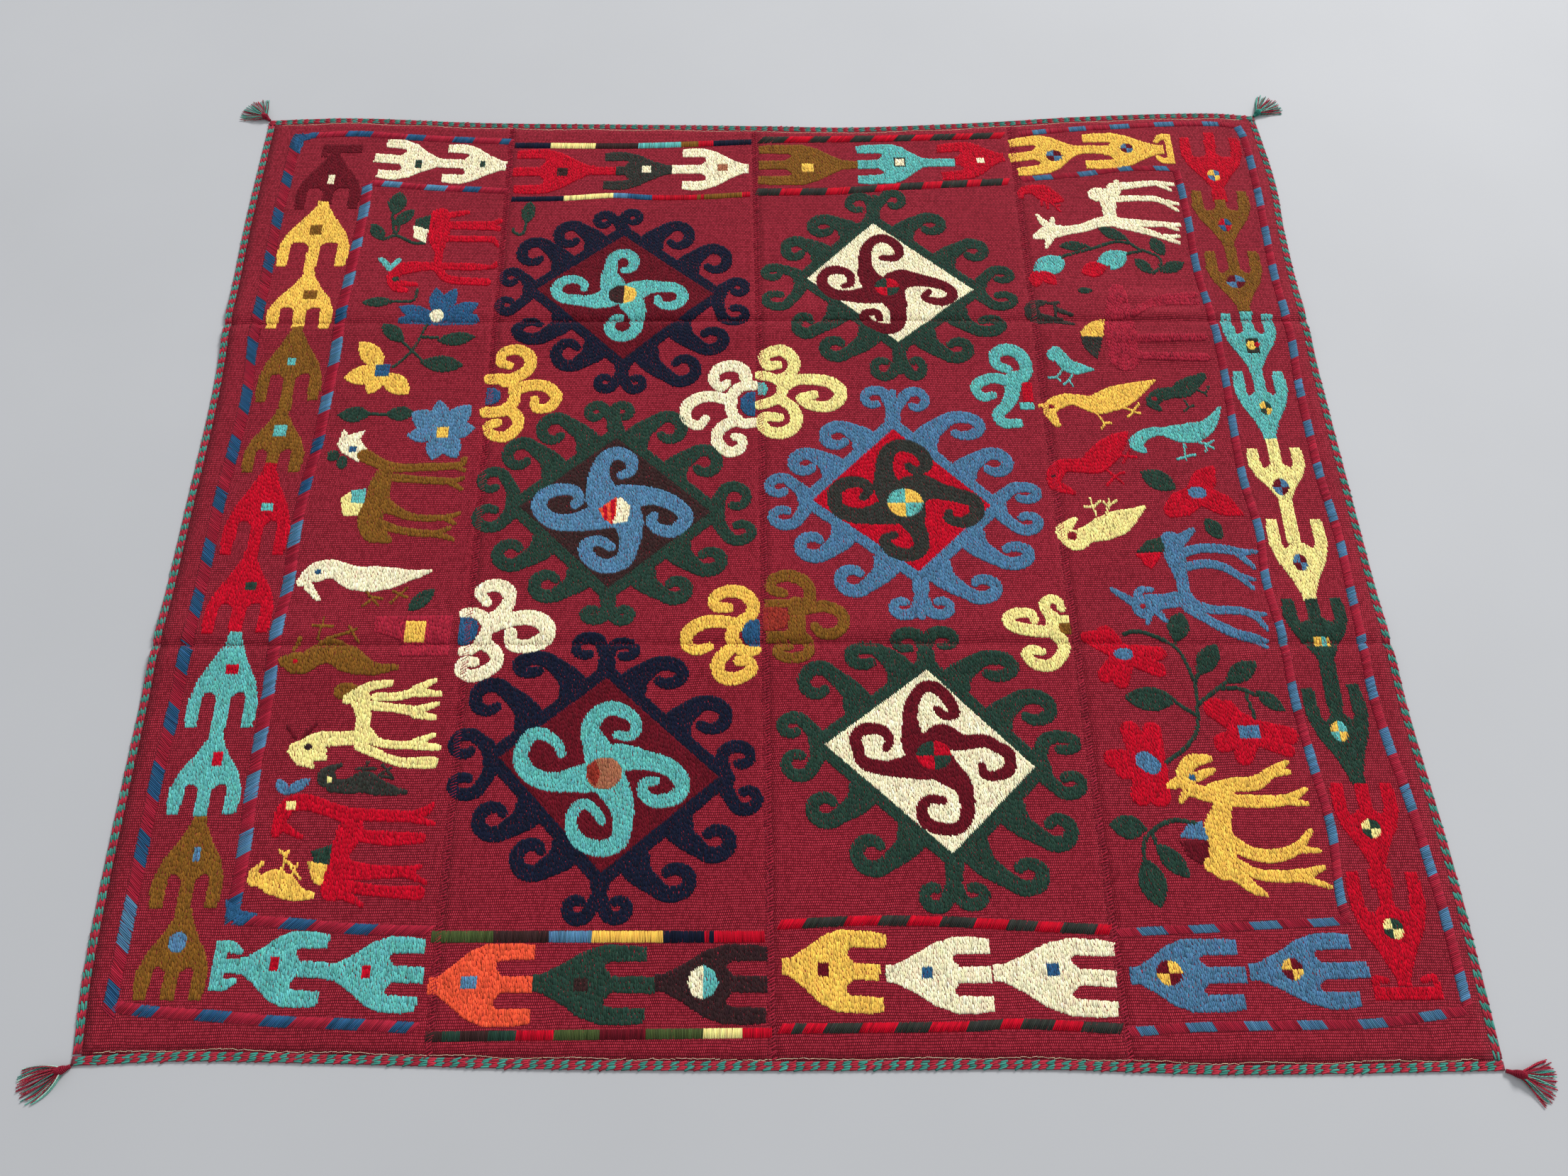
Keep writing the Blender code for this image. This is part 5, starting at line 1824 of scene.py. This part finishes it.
def two_ply(route, dyes, phase):
    """Two plies twisted round each other along a route."""
    route = np.array(route)
    run = np.concatenate([[0], np.cumsum(np.linalg.norm(np.diff(route, axis=0), axis=1))])
    even = np.arange(0, run[-1], RING_STEP)
    route = np.stack([np.interp(even, run, route[:, k]) for k in range(3)], axis=-1)
    ahead = np.gradient(route, axis=0)
    ahead /= np.linalg.norm(ahead, axis=1)[:, None]
    aside = np.cross(ahead, (0.0, 0.0, 1.0))
    aside /= np.linalg.norm(aside, axis=1)[:, None]
    above = np.cross(aside, ahead)
    turn = even / PLY_TWIST * math.tau + phase
    tubes = []
    for half in (0.0, math.pi):
        around = aside * np.cos(turn + half)[:, None] + above * np.sin(turn + half)[:, None]
        tubes.append(tube(route + around * PLY_RADIUS * 0.85, PLY_RADIUS, dyes[half > 0]))
    return tubes


def joined(name, tubes, material):
    """One mesh of many tubes, with their dyes."""
    points, faces, dyes, count = [], [], [], 0
    for tube_points, tube_faces, tube_dyes in tubes:
        points.append(tube_points)
        dyes.append(tube_dyes)
        faces += [tuple(count + v for v in face) for face in tube_faces]
        count += len(tube_points)
    shape = bpy.data.meshes.new(name)
    shape.from_pydata(np.concatenate(points).tolist(), [], faces)
    put(shape, "dye", "FLOAT_COLOR", np.concatenate([np.concatenate(dyes), np.ones((count, 1))], axis=1))
    return new_piece(name, shape, material)


tassel_wool = wool_material("tassel yarn", (1800.0, 1800.0, 1800.0))
for name, length, aim, half_spread, flare, reach, red_share, knot_colour in TASSELS:
    chance = np.random.default_rng(len(name) + int(aim) % 7)
    end = BOTTOM_EDGE if "bottom" in name else TOP_EDGE
    side_edge = LEFT_EDGE if "left" in name else RIGHT_EDGE
    corner_x, corner_y = meet(lambda y: smooth(side_edge, y), lambda x: smooth(end, x))
    bearing = math.radians(aim)
    turn = np.array(((math.cos(bearing), math.sin(bearing)), (-math.sin(bearing), math.cos(bearing))))
    outline = (  # distance along the neck and knot, radius
        (0.0, 0.8 * NECK_RADIUS), (0.45 * length, NECK_RADIUS), (0.70 * length, 0.85 * KNOT_RADIUS),
        (length, KNOT_RADIUS), (length + 0.6 * KNOT_RADIUS, 0.95 * KNOT_RADIUS),
        (length + 1.2 * KNOT_RADIUS, 0.92 * COLLAR_RADIUS),
    )
    at, girth = np.array(outline).T
    tubes = []
    for layer in (0, 1):  # two windings, one over the other's gaps
        wound = np.arange(0.0, at[-1] / WRAP_PITCH * math.tau, WRAP_STEP) + layer * math.pi
        along = np.minimum(wound * WRAP_PITCH / math.tau, at[-1])
        radius = np.interp(along, at, girth)
        route = np.stack(
            [along, (radius - PLY_RADIUS) * np.cos(wound), radius + (radius - PLY_RADIUS) * np.sin(wound)],
            axis=-1,
        )
        tubes.append(tube(route, PLY_RADIUS * 1.35, np.array(dyed(knot_colour)) * (1.0 - 0.3 * layer)))
    # Painted shade: the heart under the windings is the knot's colour at 0.4, showing dark between the turns.
    heart = np.linspace(0.001, at[-1] - 0.001, 12)
    radius = np.interp(heart, at, girth)
    inner = np.stack([heart, 0 * heart, radius], axis=-1)
    tubes.append(tube(inner, 0.9 * radius, np.array(dyed(knot_colour)) * 0.4))
    collar = length + 0.7 * KNOT_RADIUS
    for i in range(TASSEL_STRANDS):
        side = 2.0 * i / (TASSEL_STRANDS - 1) - 1.0
        side = float(np.clip(side + chance.normal(0, 0.05), -1.0, 1.0))
        layer = (0, 1, 0, 2)[i % 4]
        shorter = 1.0 - 0.16 * chance.random() - 0.10 * side * side
        t = np.linspace(0, 1, 9)
        run = reach * shorter * t
        sway = 0.0016 * np.sin(t * 4.0 + i) * t
        angle = np.radians(side * half_spread * (1.0 + flare * (1.0 - run / reach)))
        fall = np.minimum(t / LAYER_LANDINGS[layer], 1.0)
        fall = fall * fall * (3.0 - 2.0 * fall)
        floor_gap = 2.0 * PLY_RADIUS + 0.0004 * (i % 3)
        route = np.stack([
            collar - 0.003 * (1.0 - t) + run * np.cos(angle) - sway * np.sin(angle),
            side * ROOT_SPREAD * COLLAR_RADIUS + run * np.sin(angle) + sway * np.cos(angle),
            LAYER_HEIGHTS[layer] * (1.0 - fall) + floor_gap * fall,
        ], axis=-1)
        red = chance.random() < red_share
        shades = TASSEL_REDS if red else TASSEL_GREENS
        if name == "bottom_left" and not red and i % 3 == 0:
            shades = (PALE_GREEN,) * 3
        dyes = [np.array(dyed(shades[k])) * chance.normal(1.0, 0.1) for k in chance.integers(0, 3, 2)]
        tubes += two_ply(route, dyes, chance.random() * math.tau)
    start_x = corner_x + math.cos(bearing) * SEAM_GAP
    start_y = corner_y + math.sin(bearing) * SEAM_GAP
    for k, (points, faces, dyes) in enumerate(tubes):
        placed = points.copy()
        placed[:, :2] = points[:, :2] @ turn + (start_x, start_y)
        tubes[k] = (placed, faces, dyes)
    tassel = joined(f"yarn_tassel_{name}", tubes, tassel_wool)
    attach(tassel, "root")
    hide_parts(f"tassel_{name}")


bpy.data.objects.remove(STITCH)
